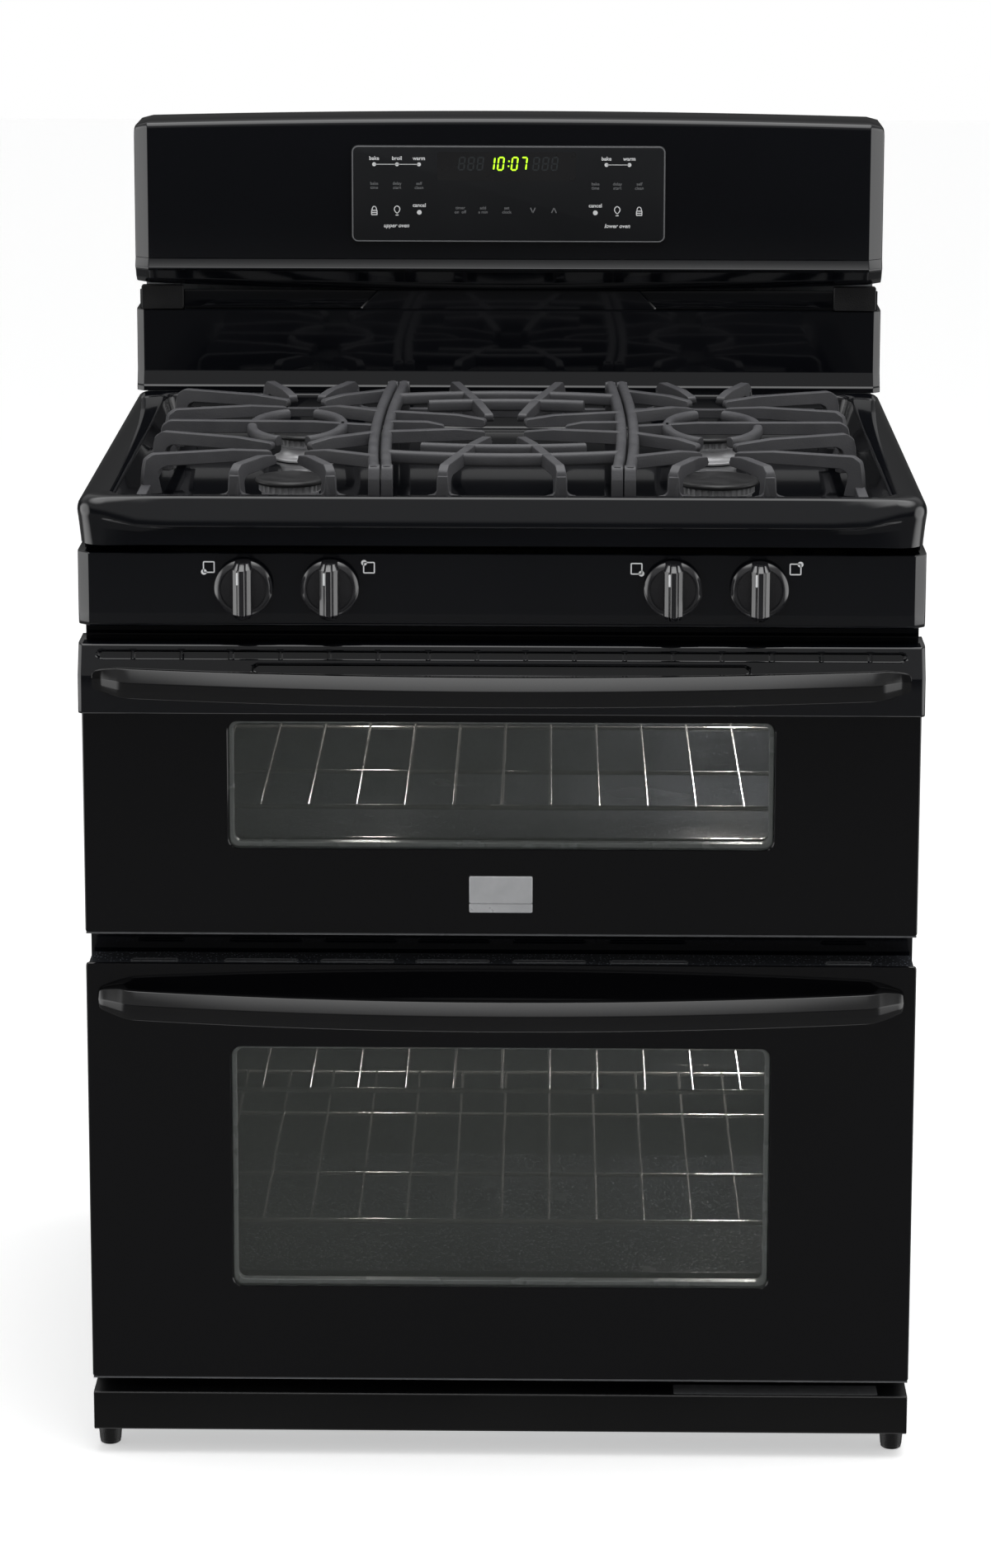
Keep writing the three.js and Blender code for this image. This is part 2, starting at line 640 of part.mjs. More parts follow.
function buildDoors() {
  const trimBottom = UPPER_TOP - TRIM_HEIGHT;
  const doors = [
    ['upper', UPPER_Z, UPPER_TOP, UPPER_WINDOW_FOOT, UPPER_WINDOW_HEAD, trimBottom - FIT],
    ['lower', LOWER_Z, LOWER_TOP, LOWER_WINDOW_FOOT, LOWER_WINDOW_HEAD, LOWER_TOP],
  ];
  for (const [name, bottom, top, foot, head, glassTop] of doors) {
    piece(`door_${name}_pan`, doorPan(bottom, top, foot, head), 'ovenEnamel');
    piece(`door_${name}_glass`, doorGlass(bottom, glassTop), 'blackGlass');
    piece(`door_${name}_inner_pane`, windowPane(bottom, top, foot, head), 'blackGlass');
    for (const [side, label] of [[-1, 'left'], [1, 'right']]) {
      const spot = groupAt(side * ARM_X, 0, 0);
      piece(`hinge_arm_${name}_${label}`, hingeArm(PIVOTS_Z[name]), 'steel', spot);
    }
  }
  piece('door_upper_trim', doorTrim(), 'porcelain');
  const upperMount = FACE_Y - TRIM_OVERHANG - FIT;
  piece('handle_upper', bowHandle(upperMount, UPPER_TOP - UPPER_HANDLE_DROP), 'knobPlastic');
  piece('handle_lower', bowHandle(FACE_Y - FIT, LOWER_TOP - LOWER_HANDLE_DROP), 'knobPlastic');
}

// ---- Knob panel, valves and knobs ---------------------------------------------------------

const PANEL_Y = FACE_Y - PANEL_OVERHANG;
const KNOB_BACK_Y = PANEL_Y - PUSH_TRAVEL - KNOB_STANDOFF;
const VALVE_FRONT_Y = PANEL_Y + 12;

/** Knob panel: a channel with round front corners and four stem holes. */
function knobPanel() {
  const back = FRAME_Y - SHEET - FIT;
  const outer = roundRect(-HALF, HALF, PANEL_Z, PANEL_TOP, 7);
  const inner = roundRect(
    -HALF + SHEET, HALF - SHEET, PANEL_Z + SHEET, PANEL_TOP - SHEET, 5.5,
  );
  const holes = KNOB_X.map((x) => rod(
    'y', STEM_R + 4, x, KNOB_Z, PANEL_Y - 1, PANEL_Y + SHEET + 1, 12,
  ));
  return cut(
    prism('y', outer, PANEL_Y, back, 3),
    prism('y', inner, PANEL_Y + SHEET, back + 1, 3),
    ...holes,
  );
}

/** Gas manifold: the supply pipe with four bored valves and the feed to the back. */
function gasManifold() {
  const pipeY = VALVE_FRONT_Y + 38;
  const z = KNOB_Z;
  const pipe = rod('x', PIPE_R, pipeY, z, KNOB_X[0] - 40, FEED_X + PIPE_R, 10);
  const feed = rod('y', PIPE_R - 0.5, FEED_X, z, pipeY, BACK_SHEET_Y - 12, 10);
  const valves = KNOB_X.map((x) => {
    const half = VALVE_SIZE / 2;
    const valve = box(x - half, x + half, VALVE_FRONT_Y, pipeY, z - half, z + half);
    const bore = STEM_R + STEM_CLEAR;
    return cut(valve, rod('y', bore, x, z, VALVE_FRONT_Y - 1, VALVE_FRONT_Y + 14, 12));
  });
  return join(pipe, feed, ...valves);
}

/** Valve stem, modelled about the knob axis with y = 0 on the panel face. */
function valveStem() {
  const back = VALVE_FRONT_Y - PANEL_Y + 10;
  return rod('y', STEM_R, 0, 0, -22, back, 12);
}

/** Knob about its own axis: chamfered skirt disc, upright grip bar and a blind stem bore. */
function knob() {
  const back = KNOB_BACK_Y - PANEL_Y;
  const front = back - KNOB_REACH;
  const disc = turned([
    [0, 0], [KNOB_R - 1, 0], [KNOB_R, 2], [KNOB_R - 3.5, KNOB_SKIRT], [KNOB_R - 5, KNOB_SKIRT - 1.2],
    [0, KNOB_SKIRT - 1.2],
  ]).rotate([90, 0, 0]).translate([0, back, 0]);
  const half = GRIP_WIDTH / 2;
  const grip = prism('z', outline([
    [half, back - 3], [half - 0.5, front + 9], [3.2, front], [-3.2, front], [-half + 0.5, front + 9],
    [-half, back - 3],
  ]), -KNOB_R, KNOB_R);
  const bore = rod('y', STEM_R + STEM_CLEAR, 0, 0, -22.5, back + 1, 12);
  return cut(join(disc, grip), bore);
}

function buildControls() {
  piece('knob_panel', knobPanel(), 'porcelain');
  piece('gas_manifold', gasManifold(), 'zinc');
  KNOB_X.forEach((x, i) => {
    const spot = groupAt(x, PANEL_Y, KNOB_Z);
    piece(`valve_stem_${i + 1}`, valveStem(), 'brass', spot);
    piece(`knob_${i + 1}`, knob(), 'knobPlastic', spot);
  });
}

// ---- Cooktop ------------------------------------------------------------------------------

const WELL_X = HALF - WELL_SIDE;
const WELL_Y0 = DECK_FRONT_Y + WELL_FRONT;
const WELL_Y1 = RISER_Y - COVE - 10;
const BURNER_MID_Y = (WELL_Y0 + WELL_Y1) / 2 - BURNER_FORWARD;
const BURNERS = [
  ['fl', -1, -1], ['fr', 1, -1], ['rl', -1, 1], ['rr', 1, 1],
].map(([name, sx, sy]) => ({
  name, x: sx * BURNER_X, y: BURNER_MID_Y + (sy * BURNER_PITCH_Y) / 2, cap: CAP_RADII[name],
}));
const HEAD_TUBE_R = 15;

/** Tapered prism between two rounded rectangles of the same corner count. */
function taperedWell(grow, floorZ) {
  const steps = 4;
  const ring = (inset, z) => {
    const shape = roundRect(
      -WELL_X - grow + inset, WELL_X + grow - inset, WELL_Y0 - grow + inset, WELL_Y1 + grow - inset, 16,
    );
    return shape.getPoints(steps).slice(0, -1).map((p) => [p.x, p.y, z]);
  };
  const low = ring(WELL_SLOPE, floorZ);
  const slope = WELL_SLOPE / WELL_DEPTH;
  const high = ring(-slope * 20, DECK_TOP + 20);
  const count = low.length;
  const corners = [...low, ...high].flat();
  const faces = [];
  for (let i = 0; i < count; i += 1) {
    const next = (i + 1) % count;
    faces.push(i, next, count + next, i, count + next, count + i);
    if (i > 0 && i < count - 1) {
      faces.push(0, i + 1, i, count, count + i, count + i + 1);
    }
  }
  const geometry = new THREE.BufferGeometry();
  geometry.setAttribute('position', new THREE.Float32BufferAttribute(corners, 3));
  geometry.setIndex(faces);
  return solid(geometry);
}

/** The cooktop's outer envelope, inset all round, with a bullnose along the front. */
function deckEnvelope(inset, from) {
  const x = HALF - inset;
  const y0 = DECK_FRONT_Y + inset;
  const y1 = DECK_BACK_Y - inset;
  const top = DECK_TOP - inset;
  const r = BULLNOSE_R;
  const plan = prism('z', roundRect(-x, x, y0, y1, DECK_CORNER - inset), from, top, 4);
  const profile = new THREE.Shape();
  profile.moveTo(y0, from - 1);
  profile.lineTo(y1 + 1, from - 1);
  profile.lineTo(y1 + 1, top);
  profile.lineTo(y0 + r, top);
  profile.absarc(y0 + r, top - r, r, Math.PI / 2, Math.PI);
  return plan.intersect(prism('x', profile, -x - 1, x + 1, 4));
}

/** Cooktop: one pressed sheet with a deep well and a hole for each burner. */
function cooktopDeck() {
  const under = deckEnvelope(DECK_SHEET, DECK_Z - 1).subtract(
    taperedWell(DECK_SHEET, WELL_FLOOR - DECK_SHEET),
  );
  const holes = BURNERS.map(({ x, y }) => rod(
    'z', HEAD_TUBE_R + BURNER_HOLE_CLEAR, x, y, WELL_FLOOR - DECK_SHEET - 1, WELL_FLOOR + 1, 20,
  ));
  return cut(deckEnvelope(0, DECK_Z), taperedWell(0, WELL_FLOOR), under, ...holes);
}

/** Burner head about its axis, z = 0 on the well floor: tube, base flange and ported ring. */
function burnerHead(cap) {
  const seat = BURNER_RISE - CAP_HEIGHT - FIT;
  const outer = cap - 5;
  return turned([
    [0, -14], [HEAD_TUBE_R, -14], [HEAD_TUBE_R, FIT], [cap + 1, FIT], [cap + 1, 3], [outer, 8], [outer, seat], [outer - 6, seat], [outer - 6, seat - 4], [0, seat - 4],
  ]);
}

/** Burner cap about its axis, z = 0 on the well floor. */
function burnerCap(cap) {
  const top = BURNER_RISE;
  const seat = top - CAP_HEIGHT;
  return turned([
    [0, seat - 2.5], [cap - 14.5, seat - 2.5], [cap - 13, seat], [cap - 1, seat], [cap, seat + 1.2],
    [cap - 1, top - 0.8], [cap - 5, top], [0, top],
  ]);
}

// Grates: every bar is a plate on edge, so a finger is its side profile given the bar's width.
const GRATE_X = WELL_X - WELL_SLOPE - GRATE_SIDE_GAP;
const GRATE_Y0 = WELL_Y0 + WELL_SLOPE + GRATE_END_GAP;
const GRATE_Y1 = BURNER_MID_Y * 2 - GRATE_Y0;
const GRATE_FOOT_Z = WELL_FLOOR + FIT;
const GRATE_TOP_Z = WELL_FLOOR + GRATE_TOP;
const BAR_LOW_Z = GRATE_TOP_Z - GRATE_BAR_DEPTH;
const RAIL_LOW_Z = WELL_FLOOR + GRATE_RAIL_LOW;

/** A finger from a root to a tip, both in plan; `leg` adds a post down to that level. */
function finger([rx, ry], [tx, ty], leg = null, width = GRATE_BAR) {
  const length = Math.hypot(tx - rx, ty - ry);
  const top = GRATE_TOP_Z;
  const profile = leg === null
    ? [[0, BAR_LOW_Z], [length, BAR_LOW_Z - GRATE_DIP + 3], [length, top - GRATE_DIP], [0, top]]
    : [
      [-5, leg], [13, leg], [10, BAR_LOW_Z - 10], [12, BAR_LOW_Z - 4], [18, BAR_LOW_Z],
      [length, BAR_LOW_Z - GRATE_DIP + 3], [length, top - GRATE_DIP], [6, top], [0, top - 3],
      [-2, top - 9],
    ];
  const plate = prism('y', outline(profile), -width / 2, width / 2);
  const angle = (Math.atan2(ty - ry, tx - rx) * 180) / Math.PI;
  return plate.rotate([0, 0, angle]).translate([rx, ry, 0]);
}

/** A bar of even width through plan points, between two levels. */
function planBar(points, width, low = BAR_LOW_Z, high = GRATE_TOP_Z) {
  const left = [];
  const right = [];
  points.forEach(([x, y], i) => {
    const [ax, ay] = points[Math.max(i - 1, 0)];
    const [bx, by] = points[Math.min(i + 1, points.length - 1)];
    const run = Math.hypot(bx - ax, by - ay);
    const nx = (-(by - ay) / run) * (width / 2);
    const ny = ((bx - ax) / run) * (width / 2);
    left.push([x + nx, y + ny]);
    right.unshift([x - nx, y - ny]);
  });
  return prism('z', outline([...right, ...left]), low, high);
}

/** The seam between two grates: how far it lies from the middle at a given y. */
function seamAt(y) {
  const t = (y - BURNER_MID_Y) / ((GRATE_Y1 - GRATE_Y0) / 2);
  return GRATE_SEAM_X + GRATE_SEAM_BOW * (1 - t * t);
}

/** A grate's side rail along the seam, with a post at each end; `offset` is its centre line. */
function seamRail(offset) {
  const steps = 8;
  const line = Array.from({ length: steps + 1 }, (_, i) => {
    const y = GRATE_Y0 + ((GRATE_Y1 - GRATE_Y0) * i) / steps;
    return [seamAt(y) + offset, y];
  });
  const posts = [GRATE_Y0, GRATE_Y1].map((y) => box(
    seamAt(y) + offset - GRATE_BAR / 2, seamAt(y) + offset + GRATE_BAR / 2, y - 5, y + 7,
    GRATE_FOOT_Z, GRATE_TOP_Z - 3,
  ));
  return join(planBar(line, GRATE_BAR), ...posts);
}

/** Side grate on +X, over a front and a rear burner. */
function sideGrate() {
  const inner = GRATE_SEAM_GAP / 2 + GRATE_BAR / 2;
  const outerX = GRATE_X - 6;
  const parts = [seamRail(inner)];
  const rail = [RAIL_LOW_Z, RAIL_LOW_Z + GRATE_RAIL_DEPTH];
  const x0 = GRATE_SEAM_X + inner;
  for (const y of [GRATE_Y0, GRATE_Y1]) {
    parts.push(box(x0, outerX, y - 5, y + 5, ...rail));
  }
  parts.push(box(outerX - 5, outerX + 5, GRATE_Y0 - 5, GRATE_Y1 + 5, ...rail));
  for (const y of [GRATE_Y0, GRATE_Y1]) {
    parts.push(box(outerX - 7, outerX + 5, y - 5, y + 7, GRATE_FOOT_Z, rail[1]));
  }
  for (const [sign, end] of [[-1, GRATE_Y0], [1, GRATE_Y1]]) {
    const y = BURNER_MID_Y + (sign * BURNER_PITCH_Y) / 2;
    for (const side of [-1, 1]) {
      const post = [BURNER_X + side * GRATE_POST_X, end];
      parts.push(finger(post, [BURNER_X + side * 14, y + sign * FINGER_END_Y], rail[0]));
      const rootY = y + side * 62;
      const tipY = y + side * FINGER_Y;
      parts.push(finger([outerX, rootY], [BURNER_X + FINGER_X, tipY], rail[0]));
      parts.push(finger([seamAt(rootY) + inner, rootY], [BURNER_X - FINGER_X, tipY]));
      const hookX = BURNER_X + side * 40;
      parts.push(planBar([
        [hookX, BURNER_MID_Y], [hookX - side * 3, BURNER_MID_Y + sign * 18],
        [BURNER_X + side * 30, BURNER_MID_Y + sign * 40],
        [BURNER_X + side * 15, y - sign * (FINGER_END_Y + 2)],
      ], GRATE_BAR, BAR_LOW_Z, GRATE_TOP_Z - 2));
    }
  }
  parts.push(finger([outerX, BURNER_MID_Y], [seamAt(BURNER_MID_Y) + inner, BURNER_MID_Y], rail[0]));
  return join(...parts);
}

/** Centre grate: bowed cross bars, four diagonal fingers and short side fingers. */
function centreGrate() {
  const offset = -GRATE_SEAM_GAP / 2 - GRATE_BAR / 2;
  const rightRail = seamRail(offset);
  const parts = [rightRail, rightRail.mirror([1, 0, 0])];
  const rail = [RAIL_LOW_Z, RAIL_LOW_Z + GRATE_RAIL_DEPTH];
  for (const [sign, end] of [[-1, GRATE_Y0], [1, GRATE_Y1]]) {
    const x = GRATE_SEAM_X + offset;
    parts.push(box(-x, x, end - 5, end + 5, ...rail));
    const crossY = BURNER_MID_Y + sign * 157;
    const reach = seamAt(crossY) + offset;
    parts.push(planBar(bowPoints(-reach, reach, crossY, sign * 17, 8), GRATE_BAR));
    const shortY = BURNER_MID_Y + sign * 118;
    parts.push(planBar(bowPoints(-76, 76, shortY, sign * 9, 6), GRATE_BAR - 1));
    for (const side of [-1, 1]) {
      const post = [side * CENTRE_POST_X, end];
      parts.push(finger(post, [side * 16, BURNER_MID_Y + sign * 62], rail[0]));
      const rootY = BURNER_MID_Y + sign * 56;
      parts.push(finger(
        [side * (seamAt(rootY) + offset), rootY], [side * 19, BURNER_MID_Y + sign * 33],
      ));
    }
  }
  for (const side of [-1, 1]) {
    parts.push(finger(
      [side * (seamAt(BURNER_MID_Y) + offset), BURNER_MID_Y], [side * 58, BURNER_MID_Y],
    ));
  }
  return join(...parts);
}

function buildCooktop() {
  piece('cooktop_deck', cooktopDeck(), 'porcelain');
  for (const { name, x, y, cap } of BURNERS) {
    const spot = groupAt(x, y, WELL_FLOOR);
    piece(`burner_head_${name}`, burnerHead(cap), 'aluminium', spot);
    piece(`burner_cap_${name}`, burnerCap(cap), 'capEnamel', spot);
  }
  piece('grate_right', sideGrate(), 'castIron');
  piece('grate_left', sideGrate().mirror([1, 0, 0]), 'castIron');
  piece('grate_centre', centreGrate(), 'castIron');
}

// ---- Riser and console --------------------------------------------------------------------

const UPSTAND_BACK_Y = BACK_Y - UPSTAND_SETBACK;
const CONSOLE_Y = UPSTAND_BACK_Y - CONSOLE_DEPTH;
const GLASS_PANEL = { x: 158.5, foot: 52, height: 98, corner: 5 };

/** Riser: a box front behind the cooktop with a cove at its foot and a flue slot in its top. */
function riser() {
  const foot = DECK_TOP + FIT;
  const profile = (inset, below) => outline([
    [RISER_Y - COVE + inset, foot - below], [RISER_Y - COVE / 3 + inset, foot + 5],
    [RISER_Y + inset, foot + COVE_HEIGHT], [RISER_Y + inset, RISER_TOP - inset],
    [UPSTAND_BACK_Y + (inset ? 1 : 0), RISER_TOP - inset],
    [UPSTAND_BACK_Y + (inset ? 1 : 0), foot - below],
  ]);
  return cut(
    prism('x', profile(0, 0), -HALF, HALF),
    prism('x', profile(SHEET, 1), -HALF + SHEET, HALF - SHEET),
    prism('z', roundRect(-220, 220, RISER_Y + 22, RISER_Y + 44, 8), RISER_TOP - 3, RISER_TOP + 1),
  );
}

/** Vent louvre: a strip in the slot between riser and console, raised in the middle. */
function ventLouvre() {
  const x = HALF - 3;
  const z0 = RISER_TOP + FIT;
  const z1 = CONSOLE_Z - FIT;
  const y = RISER_Y + 10;
  const strip = box(-x, x, y, y + SHEET, z0, z1);
  const hood = prism('y', outline([
    [-150, z0], [150, z0], [128, z1], [-128, z1],
  ]), y - 7, y + SHEET / 2);
  const slots = [];
  for (let i = -6; i <= 6; i += 1) {
    slots.push(box(i * 18 - 6, i * 18 + 6, y - 8, y + SHEET + 1, z0 + 7, z0 + 11));
  }
  return cut(join(strip, hood), ...slots);
}

/** The console's outline from the front, inset all round. */
function consoleOutline(inset) {
  const x = HALF - inset;
  const r = CONSOLE_CORNER - inset;
  const top = bowPoints(x - r, -x + r, CONSOLE_TOP - inset, CONSOLE_ARCH, 12);
  const shape = new THREE.Shape();
  shape.moveTo(-x, CONSOLE_Z + inset);
  shape.lineTo(x, CONSOLE_Z + inset);
  shape.lineTo(x, CONSOLE_TOP - inset - r);
  shape.absarc(x - r, CONSOLE_TOP - inset - r, r, 0, Math.PI / 2);
  top.slice(1).forEach(([a, b]) => shape.lineTo(a, b));
  shape.absarc(-x + r, CONSOLE_TOP - inset - r, r, Math.PI / 2, Math.PI);
  return shape;
}

/** The control glass outline, grown by a clearance. */
function controlOutline(grow) {
  const { x, foot, height, corner } = GLASS_PANEL;
  const z = CONSOLE_Z + foot;
  return roundRect(-x - grow, x + grow, z - grow, z + height + grow, corner);
}

/** Console shell: front, top, bottom and ends in one, open at the back. */
function consoleShell() {
  return cut(
    prism('y', consoleOutline(0), CONSOLE_Y, UPSTAND_BACK_Y),
    prism('y', consoleOutline(2), CONSOLE_Y + 2, UPSTAND_BACK_Y + 1),
    prism('y', controlOutline(FIT), CONSOLE_Y - 1, CONSOLE_Y + 3),
  );
}

/** Rear cover of the riser and console. */
function upstandCover() {
  const x = HALF - 4;
  const y = UPSTAND_BACK_Y + FIT;
  return box(-x, x, y, y + SHEET, DECK_Z + 10, CONSOLE_TOP - 3);
}

function buildUpstand() {
  piece('riser', riser(), 'porcelain');
  piece('vent_louvre', ventLouvre(), 'darkPlastic');
  piece('console_shell', consoleShell(), 'porcelain');
  piece('console_glass', prism('y', controlOutline(0), CONSOLE_Y - 1, CONSOLE_Y + 3), 'blackGlass');
  piece('upstand_cover', upstandCover(), 'zinc');
}

buildBody();
buildDoors();
buildControls();
buildCooktop();
buildUpstand();

export default range;
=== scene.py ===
"""Looks of a freestanding gas range with two ovens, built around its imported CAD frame.

Every length inside the classes is in millimetres in the frame's axes: +X right, +Y to the
back, +Z up. `mesh_from` turns them into metres, so each object sits at the origin with its
place in its mesh.
"""

import logging
import math
from dataclasses import dataclass, field
from enum import Enum

import bpy
import numpy as np
from mathutils import Matrix, Vector


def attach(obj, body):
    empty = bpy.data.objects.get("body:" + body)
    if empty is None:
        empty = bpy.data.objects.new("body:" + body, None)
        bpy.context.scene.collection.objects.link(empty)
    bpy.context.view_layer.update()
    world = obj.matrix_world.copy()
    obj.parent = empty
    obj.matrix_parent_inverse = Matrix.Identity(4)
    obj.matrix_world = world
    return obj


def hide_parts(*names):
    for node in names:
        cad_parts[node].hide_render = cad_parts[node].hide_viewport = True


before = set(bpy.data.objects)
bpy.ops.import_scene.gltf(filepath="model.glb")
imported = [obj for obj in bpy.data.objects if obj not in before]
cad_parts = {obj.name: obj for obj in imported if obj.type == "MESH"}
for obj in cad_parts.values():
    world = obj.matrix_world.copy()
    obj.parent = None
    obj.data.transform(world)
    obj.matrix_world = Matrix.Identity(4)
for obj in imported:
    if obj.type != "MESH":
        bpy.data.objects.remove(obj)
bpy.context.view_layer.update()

LOG = logging.getLogger("range")
MM = 0.001
Array = np.ndarray


# ---- Sizes shared by several pieces, in mm -----------------------------------------------

HALF_WIDTH = 379.5
DOOR_FACE_Y = -300.0
HANDLE_FRONT_Y = -360.0
RACK_PITCH = 44.6
KNOB_X = (-230.0, -153.0, 153.0, 230.0)
KNOB_Z = 827.5
DECK_TOP = 909.0
WELL_FLOOR = 873.0
BURNER_MID_Y = -33.0
BURNER_PITCH_Y = 242.0
BURNER_X = 197.0


class Finish(Enum):
    """The finishes of the range, each with the record's material slot it belongs to."""

    PORCELAIN = "porcelain"
    PAINTED_SIDE = "painted_side"
    BLACK_GLASS = "black_glass"
    WINDOW_PANE = "window_pane"
    CAST_IRON = "cast_iron"
    CAP_ENAMEL = "cap_enamel"
    BURNER_ALUMINIUM = "burner_aluminium"
    STEEL = "steel"
    RACK_CHROME = "rack_chrome"
    ZINC_SHEET = "zinc_sheet"
    BRASS = "brass"
    OVEN_ENAMEL = "oven_enamel"
    GLASS_FIBRE = "glass_fibre"
    GASKET_BRAID = "gasket_braid"
    KNOB_PLASTIC = "knob_plastic"
    HANDLE_PLASTIC = "handle_plastic"
    DARK_PLASTIC = "dark_plastic"


# ---- Mesh tools ------------------------------------------------------------------------------


@dataclass
class Shape:
    """Vertices in mm with the faces that join them."""

    points: Array
    faces: list[tuple[int, ...]]

    def __add__(self, other: "Shape") -> "Shape":
        """Two shapes side by side in one mesh.

        Args:
            other: the second shape.

        Returns:
            The joined shape.
        """
        shift = len(self.points)
        moved = [tuple(i + shift for i in f) for f in other.faces]
        return Shape(np.vstack([self.points, other.points]), self.faces + moved)

    def moved(self, x: float = 0.0, y: float = 0.0, z: float = 0.0) -> "Shape":
        """The shape shifted in mm."""
        return Shape(self.points + np.array([x, y, z]), self.faces)

    def mirrored(self) -> "Shape":
        """The shape on the other side of the middle plane, still facing outwards."""
        flipped = self.points * np.array([-1.0, 1.0, 1.0])
        return Shape(flipped, [tuple(reversed(f)) for f in self.faces])


def total(shapes: list[Shape]) -> Shape:
    """All the shapes in one mesh.

    Args:
        shapes: one or more shapes.

    Returns:
        Their sum.
    """
    offsets = np.cumsum([0] + [len(s.points) for s in shapes[:-1]])
    faces = [tuple(i + int(o) for i in f) for s, o in zip(shapes, offsets) for f in s.faces]
    return Shape(np.vstack([s.points for s in shapes]), faces)


def loft(rings: Array, closed: bool = True, caps: bool = True, wrap: bool = False) -> Shape:
    """Quads between neighbouring rings, with flat lids on the first and last.

    The vertex of ring i and step j is number i * n + j, so each quad joins four of them.

    Args:
        rings: an array of m rings by n points by 3.
        closed: whether each ring's last point joins its first.
        caps: whether the first and last rings are filled.
        wrap: whether the last ring joins the first, as in a frame.

    Returns:
        The shape.
    """
    m, n = rings.shape[:2]
    i = np.arange(m if wrap else m - 1)[:, None]
    j = np.arange(n if closed else n - 1)[None, :]
    i2, j2 = (i + 1) % m, (j + 1) % n
    quads = np.stack(
        [i * n + j, i * n + j2, i2 * n + j2, i2 * n + j], axis=-1
    ).reshape(-1, 4)
    faces = [tuple(q) for q in quads.tolist()]
    if caps and closed and not wrap:
        faces.append(tuple(reversed(range(n))))
        faces.append(tuple(range((m - 1) * n, m * n)))
    return Shape(rings.reshape(-1, 3).astype(float), faces)


def rounded(corners: list[tuple[float, float, float]], steps: int = 4) -> Array:
    """A closed outline whose corners are arcs.

    Each corner (a, b, r) is cut back by r / tan(half its angle) along both edges, and the
    points between follow the circle of radius r that touches both.

    Args:
        corners: corner points with their radii, in order.
        steps: segments in each arc.

    Returns:
        An array of points by 2.
    """
    pts = np.array([c[:2] for c in corners], float)
    out: list[Array] = []
    for k, (_, _, r) in enumerate(corners):
        p, before, after = pts[k], pts[k - 1], pts[(k + 1) % len(pts)]
        if r <= 0:
            out.append(p[None])
            continue
        u, v = before - p, after - p
        lu, lv = np.linalg.norm(u), np.linalg.norm(v)
        u, v = u / lu, v / lv
        half = math.acos(float(np.clip(u @ v, -1, 1))) / 2
        cut = min(r / math.tan(half), 0.49 * lu, 0.49 * lv)
        r = cut * math.tan(half)
        centre = p + (u + v) / np.linalg.norm(u + v) * (r / math.sin(half))
        a, b = p + u * cut - centre, p + v * cut - centre
        t = np.linspace(0, 1, steps + 1)[:, None]
        turn = math.acos(float(np.clip(a @ b / (r * r), -1, 1)))
        if turn < 1e-6:
            out.append(p[None])
            continue
        out.append(centre + (np.sin((1 - t) * turn) * a + np.sin(t * turn) * b) / math.sin(turn))
    return np.vstack(out)


def round_rect(a0: float, a1: float, b0: float, b1: float, r: float, steps: int = 6) -> Array:
    """A rectangle with round corners, as points by 2, anticlockwise in (a, b)."""
    return rounded([(a0, b0, r), (a1, b0, r), (a1, b1, r), (a0, b1, r)], steps)


class Axis(Enum):
    """The direction an outline is carried along, with the plane the outline lies in."""

    X = (1, 2, 0)
    Y = (0, 2, 1)
    Z = (0, 1, 2)


def placed(outline: Array, axis: Axis, level: float) -> Array:
    """Outline points by 2 laid in the plane across an axis.

    Args:
        outline: points by 2.
        axis: the axis that the plane lies across.
        level: the plane's place along that axis, mm.

    Returns:
        Points by 3.
    """
    a, b, c = axis.value
    out = np.empty((len(outline), 3))
    out[:, a], out[:, b], out[:, c] = outline[:, 0], outline[:, 1], level
    return out


def prism(outline: Array, axis: Axis, low: float, high: float) -> Shape:
    """An outline carried straight along an axis between two levels.

    Args:
        outline: closed outline, points by 2.
        axis: the direction it is carried in.
        low: first level, mm.
        high: last level, mm.

    Returns:
        The closed shape, facing outwards.
    """
    rings = np.stack([placed(outline, axis, low), placed(outline, axis, high)])
    return outward(loft(rings))


def outward(shape: Shape) -> Shape:
    """The shape with its faces turned round if its signed volume is negative.

    The volume is the sum over fan triangles of the triple product of their corners, over 6.

    Args:
        shape: a closed shape.

    Returns:
        The same shape with positive volume.
    """
    centre = shape.points.mean(0)
    p = shape.points - centre
    volume = 0.0
    for size in {len(f) for f in shape.faces}:
        f = np.array([g for g in shape.faces if len(g) == size])
        for k in range(1, size - 1):
            a, b, c = p[f[:, 0]], p[f[:, k]], p[f[:, k + 1]]
            volume += float(np.einsum("ij,ij->i", a, np.cross(b, c)).sum())
    if volume < 0:
        return Shape(shape.points, [tuple(reversed(f)) for f in shape.faces])
    return shape


def slab(outlines: list[tuple[Array, float]], axis: Axis) -> Shape:
    """Outlines of equal count stacked at levels, so that edges can be rolled over."""
    return outward(loft(np.stack([placed(o, axis, level) for o, level in outlines])))


def turned(profile: list[tuple[float, float]], sides: int = 48) -> Shape:
    """A profile of (radius, height) turned round the Z axis.

    A point at angle t is (radius * cos t, radius * sin t, height). Ends that aren't on the
    axis are closed by flat lids.

    Args:
        profile: radii and heights from one end to the other.
        sides: steps round the axis.

    Returns:
        The closed shape.
    """
    t = np.arange(sides) * 2 * math.pi / sides
    r, h = (np.array(v, float)[:, None] for v in zip(*profile))
    r = np.maximum(r, 0.01)
    rings = np.stack([r * np.cos(t), r * np.sin(t), np.broadcast_to(h, (len(r), sides))], -1)
    return outward(loft(rings))


